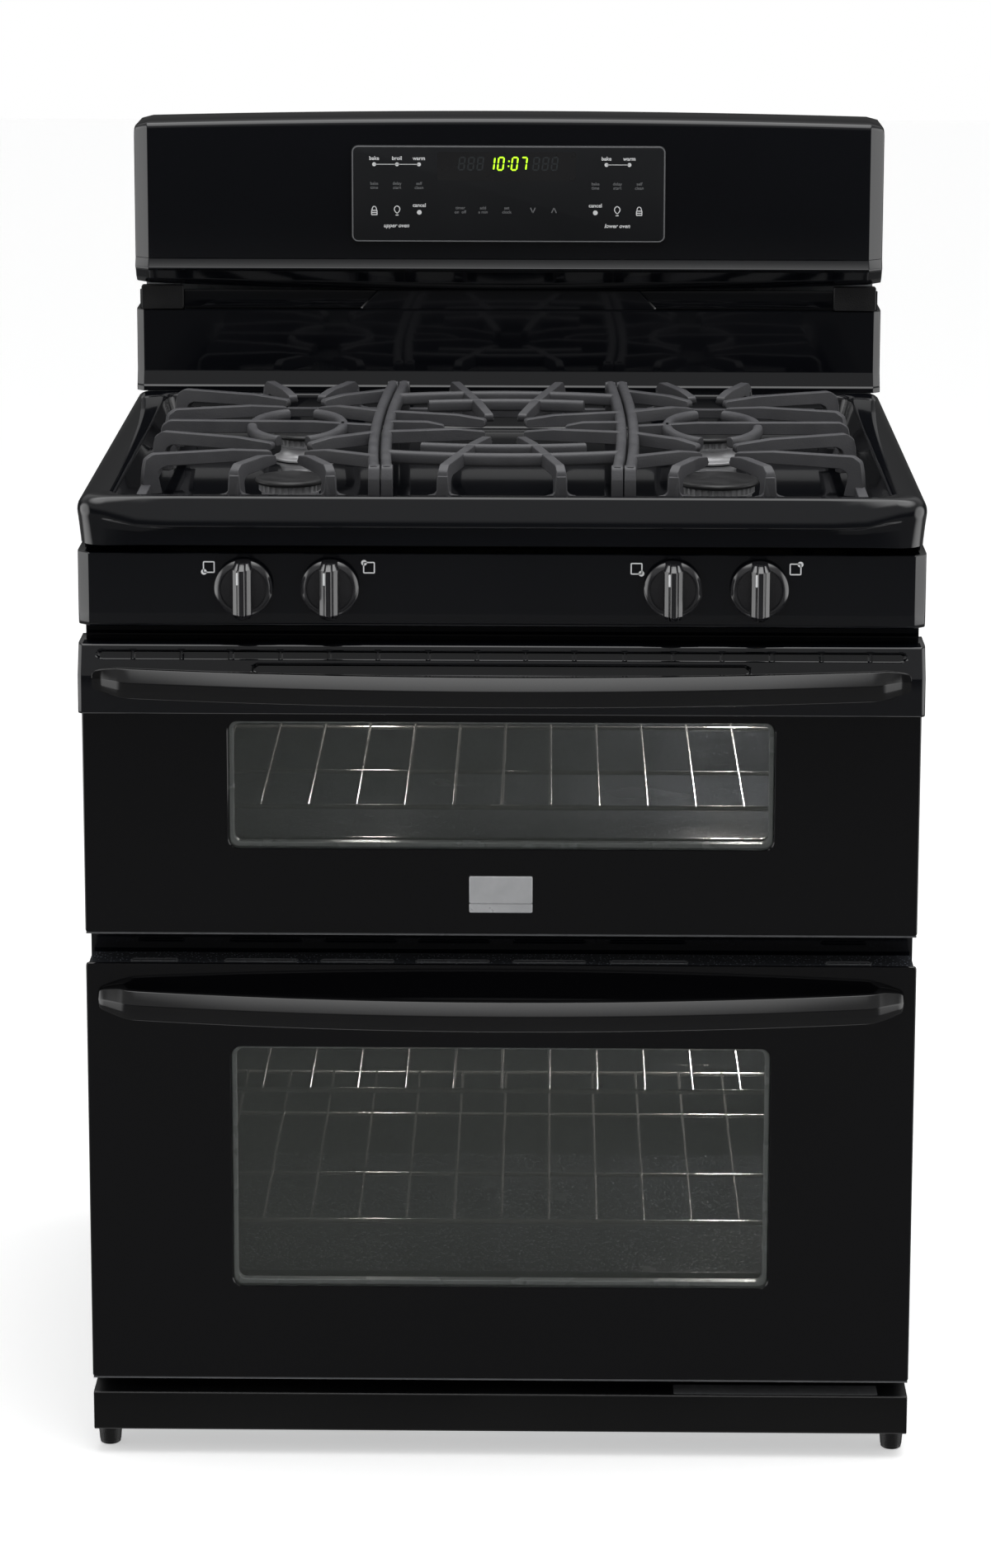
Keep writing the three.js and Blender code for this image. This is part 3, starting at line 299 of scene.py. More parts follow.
def tube(path: Array, radius: float, sides: int = 8, wrap: bool = False) -> Shape:
    """A round wire along a path.

    Each ring is the circle (cos t, sin t) in the two directions that lie across the path's
    tangent there, found from the direction least along the path.

    Args:
        path: centre points by 3, mm.
        radius: wire radius, mm.
        sides: steps round the wire.
        wrap: whether the path is a closed loop.

    Returns:
        The closed shape.
    """
    if wrap:
        tangent = np.roll(path, -1, 0) - np.roll(path, 1, 0)
    else:
        tangent = np.gradient(path, axis=0)
    tangent = tangent / np.linalg.norm(tangent, axis=1)[:, None]
    spread = np.abs(tangent).max(0)
    up = np.eye(3)[int(np.argmin(spread))]
    side = np.cross(tangent, up)
    side /= np.linalg.norm(side, axis=1)[:, None]
    third = np.cross(side, tangent)
    t = (np.arange(sides) * 2 * math.pi / sides)[None, :, None]
    rings = path[:, None] + radius * (np.cos(t) * side[:, None] + np.sin(t) * third[:, None])
    return outward(loft(rings, caps=not wrap, wrap=wrap))


def frame_ring(outer: Array, inner: Array, axis: Axis, low: float, high: float, lip: float = 0.6) -> Shape:
    """A flat frame between two outlines of equal count, with small rolled edges.

    Eight rings go round its section: both outlines at both levels, each edge cut back by
    the lip, and the last ring joins the first.

    Args:
        outer: outer outline.
        inner: inner outline.
        axis: the direction of its thickness.
        low: first level, mm.
        high: last level, mm.
        lip: size of the rolled edges, mm.

    Returns:
        The closed shape.
    """
    span = inner - outer
    step = span / np.linalg.norm(span, axis=1)[:, None] * lip
    stations = [
        (outer, low + lip), (outer, high - lip), (outer + step, high), (inner - step, high),
        (inner, high - lip), (inner, low + lip), (inner - step, low), (outer + step, low),
    ]
    rings = np.stack([placed(o, axis, level) for o, level in stations])
    return outward(loft(rings, wrap=True))


def mesh_from(
    name: str, shape: Shape, finish: "Finish | Extra", body: str, replaces: tuple[str, ...] = (),
    bevel: float = 0.0, smooth: float = 35.0, segments: int = 2,
) -> bpy.types.Object:
    """A Blender piece from a shape, dressed, riding its body and reported.

    Args:
        name: the piece's name.
        shape: its vertices and faces, in mm.
        finish: the finish it wears.
        body: the CAD body it moves with.
        replaces: CAD nodes that it stands for.
        bevel: width in mm of a Bevel modifier on its sharp edges, or 0 for none.
        smooth: edges flatter than this many degrees are shaded smooth.
        segments: steps across each bevelled edge.

    Returns:
        The new object.
    """
    mesh = bpy.data.meshes.new(name)
    mesh.from_pydata((shape.points * MM).tolist(), [], shape.faces)
    mesh.validate()
    mesh.update()
    obj = bpy.data.objects.new(name, mesh)
    bpy.context.scene.collection.objects.link(obj)
    mesh.polygons.foreach_set("use_smooth", np.ones(len(mesh.polygons), bool))
    mesh.set_sharp_from_angle(angle=math.radians(smooth))
    if bevel > 0:
        rim = obj.modifiers.new("rolled edge", "BEVEL")
        rim.width = bevel * MM
        rim.segments = segments
        rim.limit_method = "ANGLE"
        rim.angle_limit = math.radians(smooth)
        rim.harden_normals = True
    obj.data.materials.append(PALETTE.get(finish))
    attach(obj, body)
    if replaces:
        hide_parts(*replaces)
    LOG.info("piece %s on %s: %d faces", name, body, len(shape.faces))
    return obj


# ---- Finishes ----------------------------------------------------------------------------------


def linear(code: str) -> tuple[float, float, float, float]:
    """An sRGB hex colour as linear light.

    Each channel c in 0..1 becomes c / 12.92 below 0.04045, else ((c + 0.055) / 1.055) ** 2.4.

    Args:
        code: six hex digits.

    Returns:
        Red, green, blue and an alpha of one.
    """
    c = np.array([int(code[k:k + 2], 16) for k in (0, 2, 4)]) / 255
    light = np.where(c <= 0.04045, c / 12.92, ((c + 0.055) / 1.055) ** 2.4)
    return (float(light[0]), float(light[1]), float(light[2]), 1.0)


def add_node(
    tree: bpy.types.NodeTree, kind: str, settings: dict | None = None,
    inputs: dict | None = None, links: dict | None = None,
) -> bpy.types.Node:
    """Adds one node with its settings, input values and incoming links.

    Args:
        tree: the node tree.
        kind: Blender's node type.
        settings: attributes to set on the node.
        inputs: input name or number to value.
        links: input name or number to a (node, output name or number) pair.

    Returns:
        The node.
    """
    node = tree.nodes.new(kind)
    for key, value in (settings or {}).items():
        setattr(node, key, value)
    for key, value in (inputs or {}).items():
        node.inputs[key].default_value = value
    for key, (source, out) in (links or {}).items():
        tree.links.new(source.outputs[out], node.inputs[key])
    return node


class Grain(Enum):
    """How a surface's fine relief is made."""

    PEEL = "orange peel of a fired or sprayed coat"
    CAST = "sand-cast skin under a coat of enamel"
    PEBBLE = "moulded leather grain"
    SPANGLE = "zinc crystals"
    FLECK = "flecks in ground-coat enamel"
    BRUSHED = "lines of a brush or a rolling mill along X"
    BRAID = "woven glass braid"
    WOOL = "matted glass fibre"


@dataclass(frozen=True)
class Coat:
    """One real finish: its colours, gloss and the scale of its relief.

    Attributes:
        title: common name and how it was made.
        colour: main sRGB colour.
        second: sRGB colour that it drifts towards.
        roughness: lowest and highest roughness over the surface.
        grain: kind of relief.
        grain_mm: size of the relief.
        relief_mm: depth of the relief.
        drift_mm: size of the patches in which colour and roughness drift.
        metallic: 1 for bare metal.
        ior: index of refraction of a coat, plastic or glass.
        alpha: share of light stopped by a pane.
        glow: strength of a lit display or lens.
        sheen: share of soft light thrown back by loose fibres.
        clear: weight of a clear top coat.
    """

    title: str
    colour: str
    second: str
    roughness: tuple[float, float]
    grain: Grain
    grain_mm: float
    relief_mm: float
    drift_mm: float = 60.0
    metallic: float = 0.0
    ior: float = 1.5
    alpha: float = 1.0
    glow: float = 0.0
    sheen: float = 0.0
    clear: float = 0.0

    def _pattern(self, tree: bpy.types.NodeTree, place: bpy.types.Node) -> tuple[bpy.types.Node, str]:
        """The height pattern of the relief.

        Cells make pebbles, crystals and flecks, and a stretched noise makes brush lines. The
        higher of two crossed waves makes a braid, and a plain noise makes the rest.

        Args:
            tree: the node tree.
            place: a Texture Coordinate node.

        Returns:
            A node and the name of its height output, 0 to 1.
        """
        scale = 1000.0 / self.grain_mm
        at = {"Vector": (place, "Object")}
        if self.grain in (Grain.PEBBLE, Grain.SPANGLE, Grain.FLECK):
            feature = "DISTANCE_TO_EDGE" if self.grain is Grain.PEBBLE else "F1"
            cells = add_node(tree, "ShaderNodeTexVoronoi", {"feature": feature}, {"Scale": scale}, at)
            if self.grain is Grain.PEBBLE:
                return cells, "Distance"
            if self.grain is Grain.SPANGLE:
                return cells, "Color"
            edge = {"From Min": 0.16, "From Max": 0.26, "To Min": 1.0, "To Max": 0.0}
            return add_node(tree, "ShaderNodeMapRange", {}, edge, {"Value": (cells, "Distance")}), "Result"
        if self.grain is Grain.BRUSHED:
            along = add_node(tree, "ShaderNodeMapping", {}, {"Scale": (0.02, 1.0, 1.0)}, at)
            fine = {"Scale": scale, "Detail": 3.0}
            return add_node(tree, "ShaderNodeTexNoise", {}, fine, {"Vector": (along, "Vector")}), "Fac"
        if self.grain is Grain.BRAID:
            turn = add_node(tree, "ShaderNodeMapping", {}, {"Rotation": (0.0, math.pi / 2, 0.0)}, at)
            strands = {
                k: (add_node(
                    tree, "ShaderNodeTexWave", {"bands_direction": "DIAGONAL"},
                    {"Scale": scale / 6, "Distortion": 0.6}, {"Vector": source},
                ), "Fac")
                for k, source in enumerate(((place, "Object"), (turn, "Vector")))
            }
            return add_node(tree, "ShaderNodeMath", {"operation": "MAXIMUM"}, {}, strands), "Value"
        detail = {Grain.PEEL: 1.0, Grain.CAST: 6.0, Grain.WOOL: 8.0}[self.grain]
        twist = 2.0 if self.grain is Grain.WOOL else 0.0
        return add_node(
            tree, "ShaderNodeTexNoise", {}, {"Scale": scale, "Detail": detail, "Distortion": twist}, at,
        ), "Fac"

    def material(self) -> bpy.types.Material:
        """Builds the material.

        Colour is a mix of the two colours by a slow noise, or by the relief itself where
        the pattern is one of colour. Roughness is the same noise stretched between its two
        ends, and the relief drives a Bump node.

        Returns:
            The material.
        """
        mat = bpy.data.materials.new(self.title)
        mat.use_nodes = True
        tree = mat.node_tree
        tree.nodes.clear()
        place = add_node(tree, "ShaderNodeTexCoord")
        drift = add_node(
            tree, "ShaderNodeTexNoise", {}, {"Scale": 1000.0 / self.drift_mm, "Detail": 4.0},
            {"Vector": (place, "Object")},
        )
        relief, out = self._pattern(tree, place)
        painted = self.grain in (Grain.SPANGLE, Grain.FLECK, Grain.BRAID, Grain.WOOL)
        share = (relief, out) if painted else (drift, "Fac")
        colour = add_node(
            tree, "ShaderNodeMix", {"data_type": "RGBA"},
            {"A": linear(self.colour), "B": linear(self.second)}, {"Factor": share},
        )
        low, high = self.roughness
        rough = add_node(
            tree, "ShaderNodeMapRange", {}, {"From Min": 0.3, "From Max": 0.7, "To Min": low, "To Max": high},
            {"Value": (relief, out) if self.grain is Grain.SPANGLE else (drift, "Fac")},
        )
        bump = add_node(
            tree, "ShaderNodeBump", {}, {"Strength": 1.0, "Distance": self.relief_mm * MM},
            {"Height": (relief, out)},
        )
        inputs = {
            "Metallic": self.metallic, "Alpha": self.alpha, "Coat Weight": self.clear,
            "Coat Roughness": 0.03, "Sheen Weight": self.sheen,
        }
        if not self.metallic:
            inputs["IOR"] = self.ior
        if self.glow:
            inputs["Emission Color"] = linear(self.colour)
            inputs["Emission Strength"] = self.glow
        shader = add_node(
            tree, "ShaderNodeBsdfPrincipled", {}, inputs,
            {"Base Color": (colour, 2), "Roughness": (rough, "Result"), "Normal": (bump, "Normal")},
        )
        add_node(tree, "ShaderNodeOutputMaterial", {}, {}, {"Surface": (shader, "BSDF")})
        if self.alpha < 1:
            mat.surface_render_method = "BLENDED"
        return mat


# Each entry holds its title, two colours, roughness range, grain with its size and depth, and
# the size of its drift, then whatever else the finish needs.
COATS: dict[Finish, Coat] = {
    # Vitreous enamel fired on steel: deep black, mirror gloss, a faint slow ripple.
    Finish.PORCELAIN: Coat(
        "black_vitreous_enamel", "06070A", "090A0E", (0.05, 0.09),
        Grain.PEEL, 9.0, 0.012, 140.0, clear=0.4,
    ),
    # Baked powder coat on rolled steel: black, half gloss, fine peel.
    Finish.PAINTED_SIDE: Coat(
        "black_powder_coat", "09090A", "0D0D0E", (0.32, 0.42), Grain.PEEL, 1.6, 0.05, 90.0,
    ),
    # Tempered float glass with a black ceramic frit behind it: flat and mirror smooth.
    Finish.BLACK_GLASS: Coat(
        "tempered_black_glass", "050506", "08080A", (0.02, 0.04),
        Grain.PEEL, 160.0, 0.01, 200.0, ior=1.52,
    ),
    # The same glass without its frit, faintly grey-green. Its 30% grey-green film is partly that tint and
    # partly painted light: a haze that brightens the window as the lit oven behind it would.
    Finish.WINDOW_PANE: Coat(
        "tinted_glass_painted_haze", "3E413F", "444643", (0.015, 0.03),
        Grain.PEEL, 160.0, 0.008, 200.0, ior=1.52, alpha=0.3,
    ),
    # Sand-cast iron under a matt enamel: charcoal, rounded, a fine pitted skin.
    Finish.CAST_IRON: Coat(
        "matt_enamelled_cast_iron", "3A3A3D", "474749", (0.42, 0.56), Grain.CAST, 1.8, 0.16, 26.0,
    ),
    # Matt enamel on pressed steel caps.
    Finish.CAP_ENAMEL: Coat(
        "matt_black_enamel", "171718", "222223", (0.36, 0.5), Grain.CAST, 1.2, 0.05, 18.0,
    ),
    # Pressure-cast aluminium: silvery, dull, slightly grainy.
    Finish.BURNER_ALUMINIUM: Coat(
        "cast_aluminium", "D2D2D4", "B4B4B6", (0.3, 0.5), Grain.CAST, 1.4, 0.06, 14.0, metallic=0.45,
    ),
    # Mild steel, zinc flashed.
    Finish.STEEL: Coat(
        "zinc_flashed_steel", "9A9A9C", "7E7E80", (0.26, 0.42),
        Grain.BRUSHED, 1.2, 0.01, 20.0, metallic=1.0,
    ),
    # Drawn wire with a nickel-chrome plate.
    Finish.RACK_CHROME: Coat(
        "nickel_chrome_wire", "D6D6D4", "B8B6B0", (0.14, 0.26),
        Grain.PEEL, 2.5, 0.01, 30.0, metallic=0.85,
    ),
    # Hot-dip galvanised sheet: crystals about 14 mm across.
    Finish.ZINC_SHEET: Coat(
        "galvanised_sheet", "A6A9AB", "7F8284", (0.3, 0.52),
        Grain.SPANGLE, 14.0, 0.01, 60.0, metallic=0.5,
    ),
    # Turned brass.
    Finish.BRASS: Coat(
        "turned_brass", "C7A250", "A98437", (0.2, 0.34), Grain.BRUSHED, 0.9, 0.01, 14.0, metallic=1.0,
    ),
    # Ground-coat oven enamel: blue-black glass with pale flecks under a millimetre.
    Finish.OVEN_ENAMEL: Coat(
        "flecked_oven_enamel", "2A2C30", "6F747B", (0.16, 0.28), Grain.FLECK, 3.2, 0.01, 80.0,
    ),
    # Glass wool blanket.
    Finish.GLASS_FIBRE: Coat(
        "glass_wool", "C9B96F", "E4DCB2", (0.85, 0.95), Grain.WOOL, 6.0, 1.2, 30.0, sheen=0.3,
    ),
    # Braided glass rope.
    Finish.GASKET_BRAID: Coat(
        "glass_rope_braid", "55554F", "8B8A82", (0.7, 0.85), Grain.BRAID, 2.6, 0.5, 20.0, sheen=0.2,
    ),
    # Injection-moulded nylon, polished tool: black and glossy.
    Finish.KNOB_PLASTIC: Coat(
        "gloss_black_nylon", "17171A", "1E1E20", (0.14, 0.2),
        Grain.PEEL, 2.2, 0.008, 24.0, ior=1.53, clear=1.0,
    ),
    # Painted handle: black, glossy, with the soft peel of a sprayed coat.
    Finish.HANDLE_PLASTIC: Coat(
        "gloss_black_handle_paint", "0B0B0C", "101011", (0.11, 0.17),
        Grain.PEEL, 7.0, 0.012, 90.0, clear=0.3,
    ),
    # Moulded polypropylene with a leather grain of about 2 mm cells.
    Finish.DARK_PLASTIC: Coat(
        "grained_black_plastic", "111112", "1A1A1B", (0.4, 0.55), Grain.PEBBLE, 2.2, 0.35, 30.0,
    ),
}


class Extra(Enum):
    """Finishes of small parts that share no slot of the record."""

    WHITE_INK = "white_ink"
    DIM_INK = "dim_ink"
    LIT_DIGITS = "lit_digits"
    UNLIT_DIGITS = "unlit_digits"
    NICKEL = "nickel"
    # Grey edge lines, painted as highlights.
    TRIM_EDGE = "trim_edge"
    OVERLAY = "overlay"
    SMOKED_SCREEN = "smoked_screen"
    LIP = "lip"
    LAMP_GLASS = "lamp_glass"


EXTRAS: dict[Extra, Coat] = {
    # Screen-printed white enamel ink: thin, flat and slightly uneven.
    Extra.WHITE_INK: Coat(
        "screen_print_white", "D9DADB", "C8C9CA", (0.45, 0.6), Grain.PEEL, 0.8, 0.01, 6.0,
    ),
    # The same print behind smoked glass, so it shows grey.
    Extra.DIM_INK: Coat(
        "screen_print_grey", "6E6F71", "5D5E60", (0.45, 0.6), Grain.PEEL, 0.8, 0.01, 6.0,
    ),
    # Vacuum fluorescent digits: a thin phosphor film that glows yellow-green.
    Extra.LIT_DIGITS: Coat(
        "lit_phosphor", "A6F01E", "98E614", (0.5, 0.6), Grain.PEEL, 0.8, 0.01, 6.0, glow=1.6,
    ),
    # The same film unlit.
    Extra.UNLIT_DIGITS: Coat(
        "unlit_phosphor", "2C3032", "262A2C", (0.5, 0.6), Grain.PEEL, 0.8, 0.01, 6.0,
    ),
    # Satin nickel plate with brush lines along X.
    Extra.NICKEL: Coat(
        "brushed_nickel", "BDBEC0", "A3A4A6", (0.26, 0.38), Grain.BRUSHED, 0.7, 0.01, 18.0, metallic=0.3,
    ),
    # Rolled aluminium edging round the oven windows.
    Extra.TRIM_EDGE: Coat(
        "rolled_aluminium_edge", "A9ACAB", "8A8F8E", (0.2, 0.32),
        Grain.BRUSHED, 1.2, 0.008, 60.0, metallic=0.35,
    ),
    # Polyester keypad film over the control glass: dark grey with a satin face.
    Extra.OVERLAY: Coat(
        "satin_keypad_film", "191A1C", "1E1F21", (0.3, 0.36), Grain.PEEL, 1.2, 0.004, 40.0, ior=1.45,
    ),
    # The clear part of the same film over the smoked display.
    Extra.SMOKED_SCREEN: Coat(
        "smoked_display_film", "1D1D1E", "212122", (0.24, 0.3), Grain.PEEL, 1.2, 0.004, 40.0, ior=1.45,
    ),
    # Grey lines on the rolled lips of the slots and along the doors' feet: a painted highlight along the
    # edge, not a colour of the enamel.
    Extra.LIP: Coat(
        "painted_edge_highlight", "5A5B5D", "3E3F41", (0.2, 0.3), Grain.PEEL, 3.0, 0.01, 30.0,
    ),
    # Frosted borosilicate lens of the oven lamp.
    Extra.LAMP_GLASS: Coat(
        "frosted_lamp_glass", "F2E9D6", "E8DCC4", (0.2, 0.3), Grain.PEEL, 4.0, 0.05, 20.0, glow=1.2,
    ),
}


@dataclass
class Palette:
    """Makes each material once, when it is first asked for."""

    made: dict[str, bpy.types.Material] = field(default_factory=dict)

    def get(self, finish: Finish | Extra) -> bpy.types.Material:
        """The material of a finish.

        Args:
            finish: the finish asked for.

        Returns:
            Its material.
        """
        coat = COATS[finish] if isinstance(finish, Finish) else EXTRAS[finish]
        if coat.title not in self.made:
            self.made[coat.title] = coat.material()
        return self.made[coat.title]


PALETTE = Palette()


# ---- Riser, vent and console --------------------------------------------------------------------


def stations(width: float) -> Array:
    """Positions along the whole width that crowd together at both edges of the cut ends.

    Args:
        width: width of the cut end, mm.

    Returns:
        Rising positions, mm.
    """
    inner = np.array([1.4, 0.7, 0.3, 0.0, -0.3, -0.7, -1.4])
    end = HALF_WIDTH - np.concatenate([[0.0, 0.15, 0.5, 1.0, 1.5, 2.0], width - inner])
    straight = HALF_WIDTH - width - 2
    middle = np.linspace(-straight, straight, max(2, int(2 * straight / 40)) + 1)
    return np.concatenate([-end, middle, end[::-1]])


def fall_back(x: Array, width: float) -> Array:
    """How far an end that is cut back flat has fallen away at x.

    With d the distance from the nearer end and e = width - d, it is 0.8 times
    sqrt(e^2 + 0.25) - 0.5, and the last 2 mm add a quarter circle of that radius.

    Args:
        x: positions, mm.
        width: width of the cut, mm.

    Returns:
        Setback at each position, mm.
    """
    d = np.clip(HALF_WIDTH - np.abs(x), 0, width)
    flat = 0.8 * (np.sqrt((width - d) ** 2 + 0.25) - 0.5)
    nose = 2.0 - np.sqrt(np.clip(4.0 - np.clip(2.0 - d, 0, 2) ** 2, 0, None))
    return flat + nose


def carried(profile: Array, front: Array, width: float) -> Shape:
    """A YZ profile carried along the whole width, its ends cut back flat.

    Args:
        profile: closed outline, points by 2.
        front: share of the cut that each of its points takes.
        width: width of the cut, mm.

    Returns:
        The closed shape.
    """
    xs = stations(width)
    rings = np.empty((len(xs), len(profile), 3))
    rings[..., 0] = xs[:, None]
    rings[..., 1] = profile[:, 0] + front * fall_back(xs, width)[:, None]
    rings[..., 2] = profile[:, 1]
    return outward(loft(rings))


@dataclass
class Upstand:
    """Riser behind the cooktop, the vent slot above it and the console with its cover."""

    riser_front: float = 280.0
    riser_foot: float = 272.0
    riser_end: float = 8.0
    back: float = 352.0
    foot: float = DECK_TOP + 0.3
    riser_top: float = 992.3
    console_low: float = 1012.3
    console_front: float = 262.0
    console_top: float = 1183.3
    arch: float = 5.4
    chin_bow: float = 8.0
    bead: tuple[float, float] = (1035.6, 1046.5)
    face_setback: float = 4.2
    end_width: float = 15.0
    top_corner: float = 8.0
    slot_gap: float = 0.4
    strip_half: float = 376.0
    end_block: tuple[float, float] = (-374.0, -331.0)

    def console(self) -> Shape:
        """The console as a YZ profile carried along X.

        The profile has an upright face, a bead that leans back from a sharp lower edge to a
        small ledge, and a chin that falls back to the foot. Its upper part rises by
        arch * (1 - (x / half)^2) less a quarter circle at each top corner, the chin's foot
        rises towards the ends by chin_bow * (x / half)^2, and both ends are cut back flat.

        Returns:
            The closed shape.
        """
        y, low = self.console_front, self.console_low
        b0, b1 = self.bead
        face = y + self.face_setback
        profile = rounded([
            (self.back, low, 0), (y + 18, low, 3), (y + 9, low + 9, 8), (y + 3.4, b0 - 2, 2),
            (y, b0 + 0.4, 0.6), (y, b0 + 1.9, 0.6), (y + 0.3, b0 + 2.2, 0.2),
            (face + 0.6, b1 - 0.4, 1.0), (face, b1 + 0.4, 0.4), (face, self.console_top, 6),
            (self.back, self.console_top, 1),
        ], 5)
        xs = stations(self.end_width)
        share = (xs / HALF_WIDTH)[:, None]
        py, pz = profile[:, 0][None], profile[:, 1][None]
        arch_foot = b1 + 40
        high = np.clip((pz - arch_foot) / (self.console_top - arch_foot), 0, 1)
        chin = np.clip((b0 - pz) / (b0 - low), 0, 1)
        end = np.clip(1 - (HALF_WIDTH - np.abs(xs)) / self.top_corner, 0, 1)
        drop = self.top_corner * (1 - np.sqrt(1 - end ** 2))
        lift = self.arch * (1 - share ** 2) - drop[:, None]
        front = np.clip((self.back - py) / (self.back - y - 20), 0, 1)
        rings = np.stack([
            np.broadcast_to(xs[:, None], (len(xs), len(profile))),
            py + front * fall_back(xs, self.end_width)[:, None],
            pz + high * lift + chin * self.chin_bow * share ** 2,
        ], -1)
        return outward(loft(rings))

    def riser(self) -> Shape:
        """The riser: a YZ profile carried along X, its ends cut back flat.

        The profile has a small bead at its foot and a cove above it.

        Returns:
            The closed shape.
        """
        f, y, top = self.foot, self.riser_front, self.riser_top
        profile = rounded([
            (self.back, f, 0), (self.riser_foot + 0.4, f, 0.4), (self.riser_foot, f + 4.6, 1.8),
            (self.riser_foot + 1.8, f + 6.4, 0.8), (y - 0.6, f + 20.0, 4), (y, top - 1, 0),
            (y + 1, top, 3.6), (self.back, top, 1),
        ], 5)
        front = np.clip((self.back - profile[:, 0]) / (self.back - y - 6), 0, 1)
        return carried(profile, front, self.riser_end)

    def vent(self) -> Shape:
        """The strip in the slot, its raised middle hood, and the ribs in the hood's foot.

        Returns:
            The three in one shape.
        """
        z0, z1 = self.riser_top + self.slot_gap, self.console_low - self.slot_gap
        strip = prism(round_rect(286.5, 291.4, z0, z1, 1.0, 2), Axis.X, -self.strip_half, self.strip_half)
        face = rounded([(-152, z0, 1), (152, z0, 1), (134, z1, 3), (-134, z1, 3)], 3)
        inner = face * np.array([0.985, 1.0])
        hood = slab([(face, 287.0), (face, 284.6), (inner, 283.0)], Axis.Y)
        rib = round_rect(283.1, 286.0, z0 + 6.5, z0 + 8.5, 0.8, 2)
        ribs = [prism(rib, Axis.X, x - 7.0, x + 7.0) for x in np.arange(-108.0, 109.0, 18.0)]
        return total([strip, hood, *ribs])

    def grain_strips(self) -> Shape:
        """The two grained plastic blocks that show at the ends of the slot.

        Returns:
            Both blocks, with their front edges rolled back over 0.9 mm.
        """
        x0, x1 = self.end_block
        z0, z1 = self.riser_top + self.slot_gap, self.console_low + 5.0
        outline = round_rect(x0, x1, z0, z1, 2.0, 3)
        face = round_rect(x0 + 0.8, x1 - 0.8, z0 + 0.8, z1 - 0.8, 1.5, 3)
        block = slab([(outline, 286.0), (outline, 279.5), (face, 278.6)], Axis.Y)
        return total([block, block.mirrored()])

    def build(self) -> None:
        """Builds and dresses the riser, the vent and the console."""
        body = "range_body"
        mesh_from("console_body", self.console(), Finish.PORCELAIN, body, ("console_shell",), smooth=40)
        mesh_from("riser_box", self.riser(), Finish.PORCELAIN, body, ("riser",), smooth=40)
        mesh_from("vent_strip", self.vent(), Finish.PORCELAIN, body, ("vent_louvre",), bevel=0.4)
        mesh_from("vent_end_blocks", self.grain_strips(), Finish.DARK_PLASTIC, body)
        dress("upstand_cover", Finish.ZINC_SHEET)


# ---- Control glass -------------------------------------------------------------------------------


def lettering(word: str, size: float, bold: float = 0.0, slant: float = 0.0) -> Shape:
    """A word as closed thin letters, centred on its own middle, facing -Y.

    Blender's own typeface makes the outlines. A letter point (a, b) goes to x = a, z = b, and
    its thickness of 0.1 mm lies along Y.

    Args:
        word: the text.
        size: type size, mm.
        bold: outline growth, mm.
        slant: shear of the letters.

    Returns:
        The letters.
    """
    curve = bpy.data.curves.new("letters", "FONT")
    curve.body, curve.size = word, size
    curve.extrude, curve.offset, curve.shear = 0.05, bold, slant
    curve.resolution_u = 3
    curve.align_x = "CENTER"
    holder = bpy.data.objects.new("letters", curve)
    bpy.context.scene.collection.objects.link(holder)
    mesh = bpy.data.meshes.new_from_object(holder)
    points = np.zeros(len(mesh.vertices) * 3)
    mesh.vertices.foreach_get("co", points)
    points = points.reshape(-1, 3)
    faces = [tuple(p.vertices) for p in mesh.polygons]
    bpy.data.objects.remove(holder)
    bpy.data.curves.remove(curve)
    bpy.data.meshes.remove(mesh)
    placed_points = np.stack([points[:, 0], -points[:, 2], points[:, 1] - size * 0.25], -1)
    return Shape(placed_points, faces)


def line_loop(outline: Array, width: float, level: float) -> Shape:
    """A printed line of even width along a closed outline, facing -Y.

    The inner edge is the outline moved along the mean of its two edge normals.

    Args:
        outline: closed outline in (x, z), anticlockwise.
        width: line width, mm.
        level: the Y of its face.

    Returns:
        The line, 0.1 mm thick.
    """
    ahead = np.roll(outline, -1, 0) - outline
    ahead /= np.linalg.norm(ahead, axis=1)[:, None]
    mean = ahead + np.roll(ahead, 1, 0)
    mean /= np.linalg.norm(mean, axis=1)[:, None]
    inner = outline + np.stack([-mean[:, 1], mean[:, 0]], -1) * width
    return frame_ring(outline, inner, Axis.Y, level, level + 0.1, 0.02)


def disc(x: float, z: float, radius: float, level: float, sides: int = 14) -> Shape:
    """A printed dot facing -Y, 0.1 mm thick."""
    t = np.arange(sides) * 2 * math.pi / sides
    return prism(np.stack([x + radius * np.cos(t), z + radius * np.sin(t)], -1), Axis.Y, level, level + 0.1)


def stroke(a: tuple[float, float], b: tuple[float, float], width: float, level: float) -> Shape:
    """A straight printed line facing -Y, 0.1 mm thick.

    Args:
        a: where it starts, in (x, z).
        b: where it ends, in (x, z).
        width: line width, mm.
        level: the Y of its face.

    Returns:
        The closed shape.
    """
    p, q = np.array(a), np.array(b)
    along = (q - p) / np.linalg.norm(q - p)
    side = np.array([-along[1], along[0]]) * width / 2
    return prism(np.array([p - side, q - side, q + side, p + side]), Axis.Y, level, level + 0.1)


class Segment(Enum):
    """The seven bars of a digit: start and end corners on a grid one wide and two tall."""

    TOP = ((0, 2), (1, 2))
    MIDDLE = ((0, 1), (1, 1))
    BOTTOM = ((0, 0), (1, 0))
    LEFT_HIGH = ((0, 1), (0, 2))
    LEFT_LOW = ((0, 0), (0, 1))
    RIGHT_HIGH = ((1, 1), (1, 2))
    RIGHT_LOW = ((1, 0), (1, 1))


RIGHT_PAIR = (Segment.RIGHT_HIGH, Segment.RIGHT_LOW)
DIGIT_BARS: dict[str, tuple[Segment, ...]] = {
    "0": tuple(s for s in Segment if s is not Segment.MIDDLE),
    "1": RIGHT_PAIR,
    "7": (Segment.TOP, *RIGHT_PAIR),
    "8": tuple(Segment),
}


